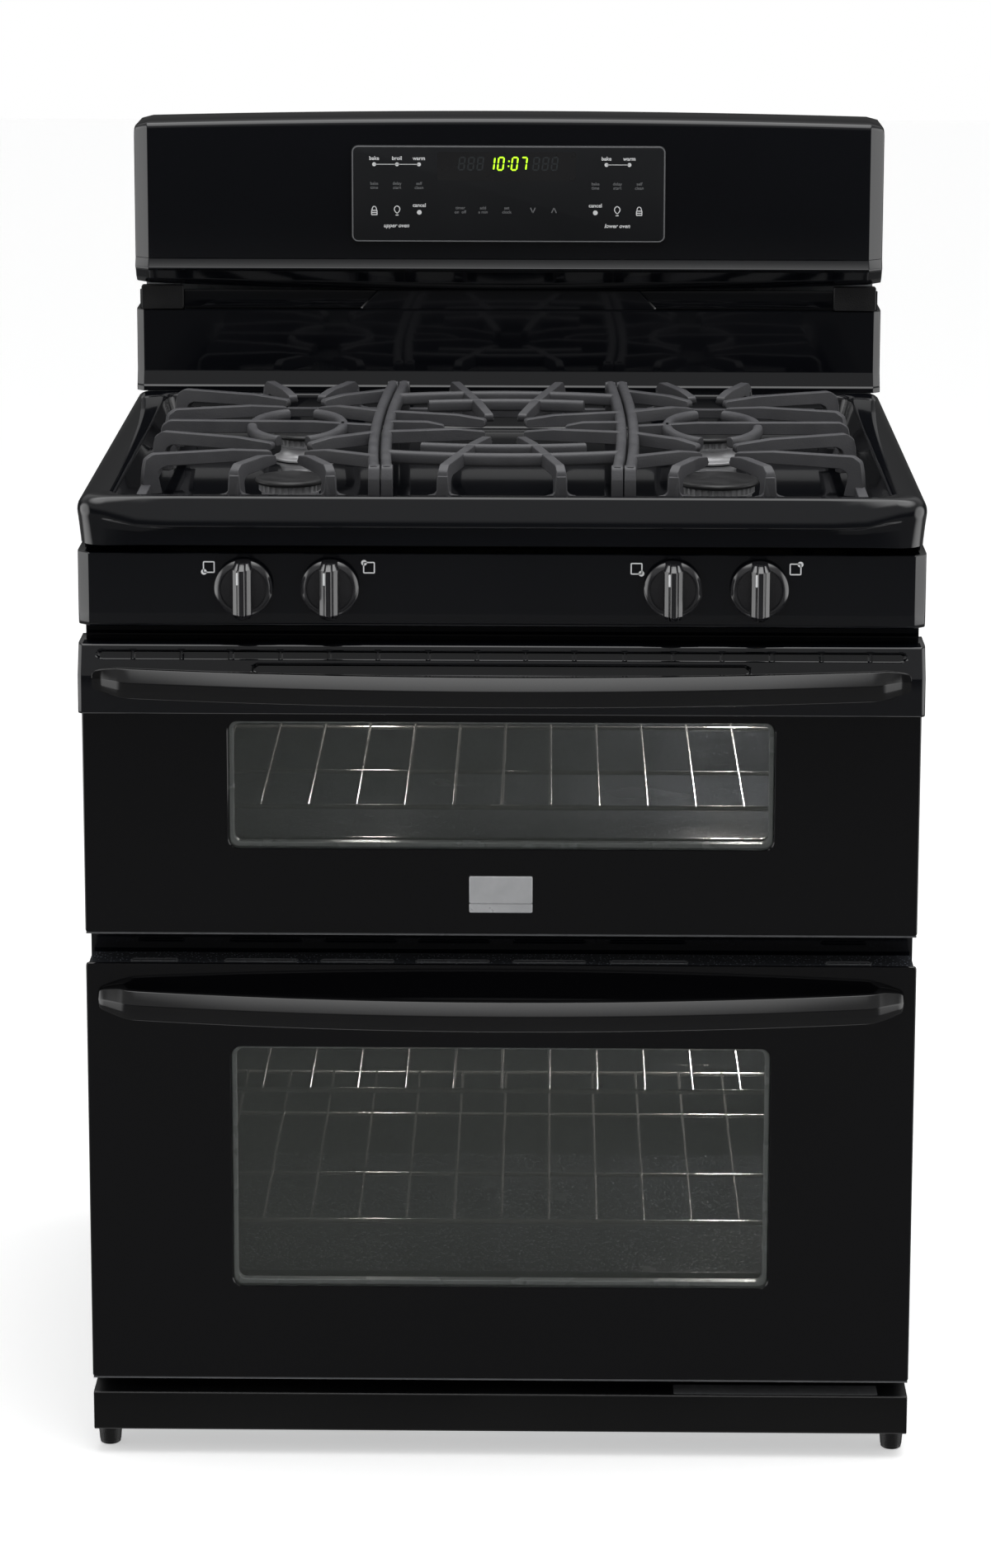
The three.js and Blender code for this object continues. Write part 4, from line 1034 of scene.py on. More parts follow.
@dataclass
class ControlGlass:
    """Control panel of the console: glass under a satin film, with its legends and clock."""

    half: float = 158.5
    low: float = 1064.3
    high: float = 1162.3
    front: float = 261.6
    corner: float = 6.5
    ink: float = 0.1
    screen: tuple[float, float, float, float] = (-72.0, 68.0, 1127.0, 1156.0)
    digit_width: float = 5.4
    digit_height: float = 12.6
    digit_pitch: float = 9.3
    digit_z: float = 1137.8
    lean: float = 0.12
    clock: str = "10:07"
    left_keys: tuple[float, ...] = (-135.5, -112.5, -90.3)
    right_keys: tuple[float, ...] = (87.8, 109.9, 132.1)
    right_modes: tuple[float, ...] = (98.8, 121.9)
    cancel_keys: tuple[float, ...] = (-90.0, 87.8)
    mode_z: float = 1149.0
    dot_z: float = 1143.2
    time_z: float = 1123.6
    sign_z: float = 1097.0
    low_row_z: float = 1099.0

    @property
    def print_level(self) -> float:
        """The Y of the printed marks' faces."""
        return self.front - self.ink

    def outline(self, inset: float, corner: float) -> Array:
        """The panel's outline in (x, z), inset all round and with a corner radius, mm."""
        half = self.half - inset
        return round_rect(-half, half, self.low + inset, self.high - inset, corner, 6)

    def glass(self) -> Shape:
        """A rounded slab whose front edge is rolled back over 1.1 mm.

        Returns:
            The closed shape.
        """
        steps = ((0.0, 267.0), (0.0, self.front + 1.0), (0.35, self.front + 0.3), (1.1, self.front))
        return slab([(self.outline(inset, self.corner - inset), y) for inset, y in steps], Axis.Y)

    def digit(self, name: str, x: float, z: float) -> list[Shape]:
        """One leaning digit, each bar a hexagon from end to end, 1.5 mm wide.

        Args:
            name: the digit.
            x: its lower left corner along X, mm.
            z: the same corner's height, mm.

        Returns:
            Its bars.
        """
        w, h = self.digit_width, self.digit_height / 2
        bars = []
        for seg in DIGIT_BARS[name]:
            ends = np.array(seg.value, float) * np.array([w, h])
            along = (ends[1] - ends[0]) / np.linalg.norm(ends[1] - ends[0])
            side = np.array([-along[1], along[0]]) * 0.75
            a, b = ends[0] + along * 0.25, ends[1] - along * 0.25
            c, d = a + along * 0.75, b - along * 0.75
            hexagon = np.array([a, c - side, d - side, b, d + side, c + side])
            hexagon[:, 0] += hexagon[:, 1] * self.lean
            bars.append(prism(hexagon + np.array([x, z]), Axis.Y, self.print_level, self.front))
        return bars

    def clock_face(self) -> Shape:
        """The lit time, with two dots for its colon.

        Returns:
            All its bars and dots.
        """
        z, y = self.digit_z, self.print_level
        bars, x = [], -20.5
        for mark in self.clock:
            if mark == ":":
                bars += [disc(x + 1.9 + k * 0.5, z + 3.8 + k * 5, 0.85, y, 8) for k in (0, 1)]
                x += 4.6
            else:
                bars += self.digit(mark, x, z)
                x += self.digit_pitch
        return total(bars)

    def idle_digits(self) -> Shape:
        """The unlit digits on both sides of the time."""
        starts = [first + k * self.digit_pitch for first in (-50.5, 24.5) for k in range(3)]
        return total([bar for x in starts for bar in self.digit("8", x, self.digit_z)])

    def padlock(self, x: float) -> list[Shape]:
        """A printed padlock: a square body with a bar in it, and half an ellipse for its bow.

        Args:
            x: its middle, mm.

        Returns:
            Its lines.
        """
        y, z = self.print_level, self.sign_z
        t = np.linspace(0, math.pi, 9)
        bow = np.stack([x + 2.3 * np.cos(t), z + 3.6 * np.sin(t)], -1)
        body = line_loop(round_rect(x - 3.2, x + 3.2, z - 5.4, z, 0.8, 2), 1.0, y)
        bar = stroke((x - 2.2, z - 2.7), (x + 2.2, z - 2.7), 1.0, y)
        return [body, bar, *(stroke(tuple(p), tuple(q), 0.9, y) for p, q in zip(bow[:-1], bow[1:]))]

    def lamp_sign(self, x: float) -> list[Shape]:
        """A printed lamp: an ellipse that narrows by up to 0.3 towards its foot, and a base.

        Args:
            x: its middle, mm.

        Returns:
            Its lines.
        """
        y, z = self.print_level, self.sign_z
        t = np.linspace(0, 2 * math.pi, 16, endpoint=False)
        narrow = 1 - 0.3 * np.clip(-np.sin(t), 0, 1)
        bulb = np.stack([x + 3.3 * np.cos(t) * narrow, z + 0.4 + 4.0 * np.sin(t)], -1)
        return [line_loop(bulb, 0.9, y), stroke((x - 1.5, z - 5.2), (x + 1.5, z - 5.2), 1.0, y)]

    def columns(self) -> Shape:
        """White legends of both ovens: words, dots, joining lines, padlocks and lamps.

        Returns:
            All of them in one shape.
        """
        y = self.print_level
        words = [(w, x, self.mode_z) for w, x in zip(("bake", "broil", "warm"), self.left_keys)]
        words += [(w, x, self.mode_z) for w, x in zip(("bake", "warm"), self.right_modes)]
        words += [("cancel", x, self.sign_z + 4.5) for x in self.cancel_keys]
        marks = [lettering(w, 5.4, 0.1).moved(x, y + self.ink / 2, z) for w, x, z in words]
        marks += [disc(x, self.dot_z, 2.0, y) for x in (*self.left_keys, *self.right_modes)]
        marks += [disc(x, self.sign_z - 2.4, 2.4, y) for x in self.cancel_keys]
        for keys in (self.left_keys, self.right_modes):
            marks.append(stroke((keys[0], self.dot_z), (keys[-1], self.dot_z), 0.6, y))
        for keys, outermost in ((self.left_keys, 0), (self.right_keys, 2)):
            marks += self.padlock(keys[outermost]) + self.lamp_sign(keys[1])
        for word, x in (("upper oven", -113.3), ("lower oven", 109.9)):
            marks.append(lettering(word, 5.6, 0.12, 0.25).moved(x, y + self.ink / 2, 1080.8))
        return total(marks)

    def faint_legends(self) -> Shape:
        """Grey legends: the second row on each side and the row under the clock.

        Returns:
            All of them in one shape.
        """
        y, marks = self.print_level, []
        times = (("bake", "time"), ("delay", "start"), ("self", "clean"))
        rows = [(two, x, self.time_z) for two, x in zip(times * 2, self.left_keys + self.right_keys)]
        keys = (("timer", "on  off"), ("add", "a min"), ("set", "clock"))
        rows += [(two, x, self.low_row_z) for two, x in zip(keys, (-48.6, -25.6, -1.7))]
        for (first, second), x, z in rows:
            marks.append(lettering(first, 4.4, 0.06).moved(x, y + self.ink / 2, z))
            marks.append(lettering(second, 4.4, 0.06).moved(x, y + self.ink / 2, z - 4.2))
        for x, way in ((24.7, -1.0), (46.0, 1.0)):
            tip, foot = (x, self.sign_z + way * 2.6), self.sign_z - way * 2.6
            marks += [stroke((x + s * 2.4, foot), tip, 1.1, y) for s in (-1, 1)]
        return total(marks)

    def build(self) -> None:
        """Builds the glass, its rim line and everything printed or lit on it."""
        body = "range_body"
        film = mesh_from("control_glass", self.glass(), Extra.OVERLAY, body, ("console_glass",), smooth=50)
        half_ink = self.front - self.ink / 2
        rim = line_loop(self.outline(0.6, 6.0), 1.1, half_ink)
        mesh_from("control_glass_rim", rim, Extra.DIM_INK, body)
        window = round_rect(*self.screen, 2.0, 4)
        screen = slab([(window, self.front + self.ink), (window, half_ink)], Axis.Y)
        mesh_from("display_window", screen, Extra.SMOKED_SCREEN, body)
        mesh_from("clock_digits", self.clock_face(), Extra.LIT_DIGITS, body)
        mesh_from("idle_digits", self.idle_digits(), Extra.UNLIT_DIGITS, body)
        mesh_from("legends_white", self.columns(), Extra.WHITE_INK, body)
        mesh_from("legends_grey", self.faint_legends(), Extra.DIM_INK, body)


# ---- Cooktop, burners and grates ----------------------------------------------------------------


class Burner(Enum):
    """The four burners: side, row and cap radius in mm."""

    FRONT_LEFT = ("fl", -1, -1, 33.0)
    FRONT_RIGHT = ("fr", 1, -1, 39.0)
    REAR_LEFT = ("rl", -1, 1, 30.0)
    REAR_RIGHT = ("rr", 1, 1, 35.0)

    @property
    def centre(self) -> tuple[float, float]:
        """Burner axis in plan, mm."""
        return self.value[1] * BURNER_X, BURNER_MID_Y + self.value[2] * BURNER_PITCH_Y / 2


def smoothstep(t: Array) -> Array:
    """3 t^2 - 2 t^3 with t held between 0 and 1."""
    t = np.clip(t, 0, 1)
    return t * t * (3 - 2 * t)


@dataclass
class Cooktop:
    """The pressed cooktop with its well, and the burners that stand in it."""

    front: float = -312.0
    back: float = 284.0
    well_front: float = -288.0
    well_back: float = 262.0
    well_half: float = 347.5
    slope: float = 9.0
    corner: float = 24.0
    skirt: float = 866.0
    # Sections as (inset from the outer edge, height). The front one runs up the set-back skirt,
    # out under the front band, up the band as it leans back, over its tight edge to the rim.
    front_section: tuple[tuple[float, float], ...] = (
        (4.4, 866.0), (4.6, 868.0), (5.2, 872.0), (5.8, 876.0), (6.4, 880.6), (5.0, 882.0),
        (1.4, 883.0), (0.3, 883.7), (0.0, 884.8), (2.6, 891.0), (5.6, 898.0), (9.4, 907.0),
        (10.0, 908.2), (11.0, 908.8), (12.4, 909.0), (21.6, 908.9),
    )
    side_section: tuple[tuple[float, float], ...] = (
        (3.0, 866.0), (2.8, 869.0), (2.2, 875.0), (1.4, 883.0), (0.5, 890.5), (0.3, 892.0),
        (0.1, 894.0), (0.0, 896.0), (0.3, 899.0), (1.2, 902.0), (2.9, 904.8), (5.4, 907.0),
        (8.2, 908.5), (11.5, 909.0), (20.0, 909.0), (27.5, 908.8),
    )

    def deck(self) -> Shape:
        """The cooktop as rings that step inwards from its foot to the middle of the well.

        Every ring blends two rounded rectangles with matching corners: the outer edge and
        the well's lip, then the lip and the floor. The section at a point is the front
        section times f plus the side section times 1 - f, where f falls smoothly from one
        to nought over the last 60 mm before each front corner.

        Returns:
            The closed shape.
        """
        s, x1 = 10, self.well_half
        between = (np.arange(1, 24) / 24)[:, None]

        def ring(half: float, y0: float, y1: float, front_r: float, back_r: float) -> Array:
            """A rounded rectangle with extra points along its front and back.

            Args:
                half: half its width, mm.
                y0: its front edge, mm.
                y1: its back edge, mm.
                front_r: radius of the front corners, mm.
                back_r: radius of the back corners, mm.

            Returns:
                Points by 2.
            """
            corners = rounded([
                (-half, y0, front_r), (half, y0, front_r), (half, y1, back_r), (-half, y1, back_r),
            ], s)
            front_left, front_right = corners[s], corners[s + 1]
            back_right, back_left = corners[3 * s + 2], corners[3 * s + 3]
            return np.vstack([
                corners[:s + 1], front_left + between * (front_right - front_left),
                corners[s + 1:3 * s + 3], back_right + between * (back_left - back_right),
                corners[3 * s + 3:],
            ])

        outer = ring(HALF_WIDTH, self.front, self.back, self.corner, 5.0)
        lip = ring(x1, self.well_front, self.well_back, 17.0, 17.0)
        floor = ring(x1 - self.slope, self.well_front + self.slope, self.well_back - self.slope, 15.0, 15.0)
        centre = ring(x1 - 40, self.well_front + 40, self.well_back - 40, 15.0, 15.0)
        ahead = smoothstep((self.front + 30 - outer[:, 1]) / 28)
        f = ahead * smoothstep((HALF_WIDTH - 6 - np.abs(outer[:, 0])) / 60)
        rings = []
        for (fi, fz), (si, sz) in zip(self.front_section, self.side_section):
            share = f * fi / 24 + (1 - f) * si / 32
            z = f * fz + (1 - f) * sz
            xy = outer + (lip - outer) * share[:, None]
            rings.append(np.column_stack([xy, z]))
        for share, z in ((0.93, 908.2), (0.99, 906.6), (1.0, 904.0)):
            rings.append(np.column_stack([outer + (lip - outer) * share, np.full(len(outer), z)]))
        for share, z in ((0.35, 893.0), (0.72, 882.5), (0.9, 877.6), (1.0, 875.8)):
            rings.append(np.column_stack([lip + (floor - lip) * share, np.full(len(outer), z)]))
        for share, z in ((0.08, 874.2), (0.2, 873.3), (0.34, WELL_FLOOR), (1.0, WELL_FLOOR)):
            rings.append(np.column_stack([floor + (centre - floor) * share, np.full(len(outer), z)]))
        return outward(loft(np.array(rings)))

    def head(self, cap: float) -> Shape:
        """A burner head: a turned profile whose upper wall is cut by port slots.

        At angle t the wall's radius is less by 1.8 mm where cos(n t) is above 0.3, for n
        ports round the head, and only between the heights of the ports.

        Args:
            cap: radius of the cap that it carries, mm.

        Returns:
            The closed shape.
        """
        seat, ports = 21.7, int(cap * 0.9)
        sides = ports * 6
        t = np.arange(sides) * 2 * math.pi / sides
        groove = (np.cos(ports * t) > 0.3).astype(float)
        wall = cap - 5.5
        profile = [
            (0, -13.5), (14.5, -13.5), (14.5, 0.4), (cap + 0.6, 0.4), (cap + 1, 0.8), (cap + 1, 2.4),
            (cap + 0.4, 3.0), (wall + 3, 3.6), (wall + 0.5, 6.0), (wall - 1, 9.0), (wall - 1, 13.0),
            (wall + 1.6, 15.4), (wall + 1.6, 15.9), (wall + 1.6, seat - 0.4), (wall + 1.2, seat),
            (wall - 6, seat), (wall - 6, seat - 4), (0, seat - 4),
        ]
        cut = np.array([0] * 12 + [1, 1, 1] + [0] * 3, float) * 1.8
        radii, heights = (np.array(v, float)[:, None] for v in zip(*profile))
        r = np.maximum(radii - cut[:, None] * groove[None], 0.01)
        h = np.broadcast_to(heights, r.shape)
        return outward(loft(np.stack([r * np.cos(t), r * np.sin(t), h], -1)))

    def cap(self, radius: float) -> Shape:
        """A burner cap: a turned plate with a rolled rim and a slightly dished top.

        Args:
            radius: its outer radius, mm.

        Returns:
            The closed shape.
        """
        top = 27.0
        rim = [
            (14.5, 7.5), (13, 5), (1.4, 5), (0.4, 4.5), (0, 3.6), (0.1, 2.2), (0.9, 1.0), (2.4, 0.3),
            (4.6, 0.05), (7.0, 0.25), (9.0, 0.6),
        ]
        edge = [(radius - inset, top - drop) for inset, drop in rim]
        return turned([(0, top - 7.5), *edge, (radius * 0.4, top - 0.7), (0, top - 0.7)], 64)

    def build(self) -> None:
        """Builds the cooktop and the four burners, each cap on its own body."""
        mesh_from("cooktop", self.deck(), Finish.PORCELAIN, "range_body", ("cooktop_deck",), smooth=50)
        pin = [(0, 1), (2.6, 1), (2.6, 15), (1.9, 16.5), (0.9, 17), (0.9, 20.5), (0, 20.9)]
        for burner in Burner:
            name, side, row, radius = burner.value
            x, y = burner.centre
            head, node = self.head(radius).moved(x, y, WELL_FLOOR), f"burner_head_{name}"
            mesh_from(f"head_{name}", head, Finish.BURNER_ALUMINIUM, "range_body", (node,))
            lid = self.cap(radius).moved(x, y, WELL_FLOOR)
            mesh_from(f"cap_{name}", lid, Finish.CAP_ENAMEL, f"cap_{name}", (f"burner_cap_{name}",))
            spark = turned(pin, 12).moved(x - 12 * side, y - row * (radius - 1), WELL_FLOOR)
            mesh_from(f"igniter_{name}", spark, Extra.WHITE_INK, "range_body")


@dataclass
class Grates:
    """Three cast grates: two over the burners and one in the middle.

    Every bar is a plate on edge: its side outline, with arcs at its corners, is given the
    bar's width. Plan bars are swept boxes along a line of points.
    """

    bar: float = 10.4
    top: float = 932.0
    bar_depth: float = 12.0
    dip: float = 4.0
    rail_low: float = 895.0
    rail_depth: float = 9.0
    rail_half: float = 4.6
    foot: float = WELL_FLOOR + 0.4
    front: float = -270.0
    seam: float = 109.0
    seam_bow: float = 7.0
    seam_gap: float = 1.2
    outer: float = 324.5

    @property
    def back(self) -> float:
        """Rear end line: the front one mirrored about the burners' middle."""
        return 2 * BURNER_MID_Y - self.front

    @property
    def low(self) -> float:
        """Underside of the top bars."""
        return self.top - self.bar_depth

    def seam_at(self, y: float | Array) -> float | Array:
        """Distance of the seam from the middle at y: seam + bow * (1 - t^2), t from -1 to 1."""
        t = (y - BURNER_MID_Y) / ((self.back - self.front) / 2)
        return self.seam + self.seam_bow * (1 - t * t)

    def finger(
        self, root: tuple[float, float], tip: tuple[float, float], leg: float | None = None,
    ) -> Shape:
        """A finger of the grate, with a leg at its root where one is asked for.

        Its side outline (distance along, height) has rounded corners, and its two faces lie
        half a bar's width to each side of the line from root to tip.

        Args:
            root: where it leaves its rail, in plan.
            tip: where it ends over the burner, in plan.
            leg: height of the leg's foot, mm, or None for no leg.

        Returns:
            The closed shape.
        """
        run = math.dist(root, tip)
        low, top, dip = self.low, self.top, self.dip
        nose = [(run, low - dip + 4, 3), (run + 1, top - dip, 3), (run * 0.7, top - 0.6, 30)]
        if leg is None:
            corners = [(-1, low, 0), *nose, (-1, top, 0)]
        else:
            corners = [
                (-5, leg, 1), (14, leg, 1), (9.5, low - 4, 9), (17, low, 9), *nose, (6, top, 7),
                (-1.5, top - 5, 5), (-3, top - 14, 6),
            ]
        side = rounded(corners, 3)
        along = (np.array(tip) - np.array(root)) / run
        across = np.array([-along[1], along[0]])
        half = self.bar / 2
        draft = 1 - 0.16 * (side[:, 1] > low + 2)
        rings = []
        for way in (-1.0, 1.0):
            xy = np.array(root) + side[:, :1] * along + (way * half * draft)[:, None] * across
            rings.append(np.column_stack([xy, side[:, 1]]))
        return outward(loft(np.array(rings)))

    def plan_bar(self, line: Array, sunk: float = 0.0, slimmer: float = 0.0) -> Shape:
        """A bar along plan points: rounded rings across the line, slightly narrower on top.

        Args:
            line: centre points by 2, mm.
            sunk: how far its top lies below the grate's top, mm.
            slimmer: how much narrower it is than the other bars, mm.

        Returns:
            The closed shape.
        """
        low, high = self.low, self.top - sunk
        half = (self.bar - slimmer) / 2
        run = np.gradient(line, axis=0)
        run /= np.linalg.norm(run, axis=1)[:, None]
        across = np.stack([-run[:, 1], run[:, 0]], -1)
        section = rounded([
            (-half, low, 2.6), (half, low, 2.6), (half * 0.9, high, 3.6), (-half * 0.9, high, 3.6),
        ], 3)
        rings = np.stack([np.column_stack([line + across * a, np.full(len(line), z)]) for a, z in section], 1)
        return outward(loft(rings))

    def bowed(self, half: float, end_y: float, bow: float, steps: int = 16) -> Array:
        """Plan points of a cross bar: y = end_y + bow * (1 - (x / half)^2)."""
        x = np.linspace(-half, half, steps + 1)
        return np.column_stack([x, end_y + bow * (1 - (x / half) ** 2)])

    def post(self, x: float, y: float, width: float = 9.0, flare: float = 7.0) -> Shape:
        """A post seen from the front as a neck that flares into the rail below it.

        Args:
            x: its middle, mm.
            y: the rail's middle line, mm.
            width: width of its neck, mm.
            flare: how far its foot spreads to each side, mm.

        Returns:
            The closed shape.
        """
        r0, r1 = self.rail_low + 1.0, self.rail_low + self.rail_depth
        h = width / 2
        side = rounded([
            (x - h - flare - 4, r0, 1), (x + h + flare + 4, r0, 1), (x + h + flare + 3, r1 + 0.3, 1),
            (x + h + 1.2, r1 + 2, 6), (x + h, self.low + 3, 1), (x - h, self.low + 3, 1),
            (x - h - 1.2, r1 + 2, 6), (x - h - flare - 3, r1 + 0.3, 1),
        ], 3)
        return prism(side, Axis.Y, y - 4.4, y + 4.4)

    def block(self, x0: float, x1: float, y0: float, y1: float, z0: float, z1: float) -> Shape:
        """A bar of rectangular section between limits; the bevel rounds it."""
        return prism(np.array([[x0, y0], [x1, y0], [x1, y1], [x0, y1]]), Axis.Z, z0, z1)

    def seam_rail(self, offset: float) -> list[Shape]:
        """The rail along the seam with a junction post at each end.

        Args:
            offset: its middle line's distance from the seam, mm, positive to the outside.

        Returns:
            The rail and its two posts.
        """
        y = np.linspace(self.front, self.back, 25)
        line = np.column_stack([self.seam_at(y) + offset, y])
        parts = [self.plan_bar(line)]
        for end in (self.front, self.back):
            x = float(self.seam_at(end)) + offset
            way = -1 if end == self.front else 1
            side = rounded([
                (end + way * 5, self.foot, 1.5), (end - way * 7, self.foot, 1.5),
                (end - way * 6, self.low - 2, 4), (end - way * 12, self.low + 4, 3),
                (end - way * 8, self.top, 3), (end + way * 1, self.top - 1, 5),
                (end + way * 5, self.top - 12, 5),
            ], 3)
            parts.append(prism(side, Axis.X, x - self.bar / 2, x + self.bar / 2))
        return parts

    def side(self) -> Shape:
        """The right-hand grate over a front and a rear burner.

        Returns:
            All its bars in one shape.
        """
        inner = self.seam_gap / 2 + self.bar / 2
        rail = (self.rail_low, self.rail_low + self.rail_depth)
        parts = self.seam_rail(inner)
        x0, x1, w = self.seam + inner, self.outer, self.rail_half
        for sign, end in ((-1, self.front), (1, self.back)):
            parts.append(self.block(x0, x1, end - w, end + w, *rail))
            foot = rounded([
                (x1 - 11, self.foot, 2), (x1 + 5, self.foot, 2), (x1 + 5, rail[1], 3),
                (x1 - 18, rail[1], 1), (x1 - 13, rail[0] - 3, 5),
            ], 3)
            parts.append(prism(foot, Axis.Y, end - 4.8, end + 4.8))
            y = BURNER_MID_Y + sign * BURNER_PITCH_Y / 2
            for way in (-1, 1):
                post_x = BURNER_X + way * 43
                parts.append(self.post(post_x, end))
                tip = (BURNER_X + way * 14, y + sign * 44)
                parts.append(self.finger((post_x, end), tip, rail[0] + 4))
                root_y, tip_y = y + way * 62, y + way * 20
                parts.append(self.finger((x1, root_y), (BURNER_X + 17, tip_y), rail[0]))
                seam_x = float(self.seam_at(root_y)) + inner
                parts.append(self.finger((seam_x, root_y), (BURNER_X - 17, tip_y)))
                parts.append(self.plan_bar(self.hook(way, sign), sunk=2))
        parts.append(self.block(x1 - w, x1 + w, self.front - w, self.back + w, *rail))
        seam_x = float(self.seam_at(BURNER_MID_Y)) + inner
        parts.append(self.finger((x1, BURNER_MID_Y), (seam_x, BURNER_MID_Y), rail[0]))
        return total(parts)

    def hook(self, way: int, row: int) -> Array:
        """Plan points of a curved arm: x = 43 cos t and y = 78 sin t, from t = -4 to 72 degrees.

        Args:
            way: -1 for the arm on the inner side of the burners, 1 for the outer side.
            row: -1 towards the front burner, 1 towards the rear one.

        Returns:
            Points from the middle finger towards the burner.
        """
        t = np.radians(np.linspace(-4, 72, 12))
        return np.column_stack([BURNER_X + way * 43 * np.cos(t), BURNER_MID_Y + row * 78 * np.sin(t)])

    def centre(self) -> Shape:
        """The middle grate: bowed cross bars, diagonals to the middle and short side fingers.

        Returns:
            All its bars in one shape.
        """
        offset = -self.seam_gap / 2 - self.bar / 2
        right = total(self.seam_rail(offset))
        parts = [right, right.mirrored()]
        rail = (self.rail_low, self.rail_low + self.rail_depth)
        x, w = self.seam + offset, self.rail_half
        for sign, end in ((-1, self.front), (1, self.back)):
            parts.append(self.block(-x, x, end - w, end + w, *rail))
            cross = BURNER_MID_Y + sign * 157
            parts.append(self.plan_bar(self.bowed(float(self.seam_at(cross)) + offset, cross, sign * 17)))
            inner_cross = self.bowed(76, BURNER_MID_Y + sign * 118, sign * 9, 12)
            parts.append(self.plan_bar(inner_cross, slimmer=1))
            for way in (-1, 1):
                parts.append(self.post(way * 53, end))
                tip = (way * 16, BURNER_MID_Y + sign * 62)
                parts.append(self.finger((way * 53, end), tip, rail[0] + 4))
                root_y = BURNER_MID_Y + sign * 56
                root = (way * (float(self.seam_at(root_y)) + offset), root_y)
                parts.append(self.finger(root, (way * 19, BURNER_MID_Y + sign * 33)))
        reach = float(self.seam_at(BURNER_MID_Y)) + offset
        for way in (-1, 1):
            parts.append(self.finger((way * reach, BURNER_MID_Y), (way * 58, BURNER_MID_Y)))
        return total(parts)

    def build(self) -> None:
        """Builds the three grates on their own bodies."""
        side = self.side()
        for name, shape, node in (
            ("right_grate", side, "grate_right"), ("left_grate", side.mirrored(), "grate_left"),
            ("centre_grate", self.centre(), "grate_centre"),
        ):
            mesh_from(
                f"cast_{name}", shape, Finish.CAST_IRON, name, (node,), bevel=2.5, smooth=42, segments=3,
            )


# ---- Knob panel and knobs ------------------------------------------------------------------------


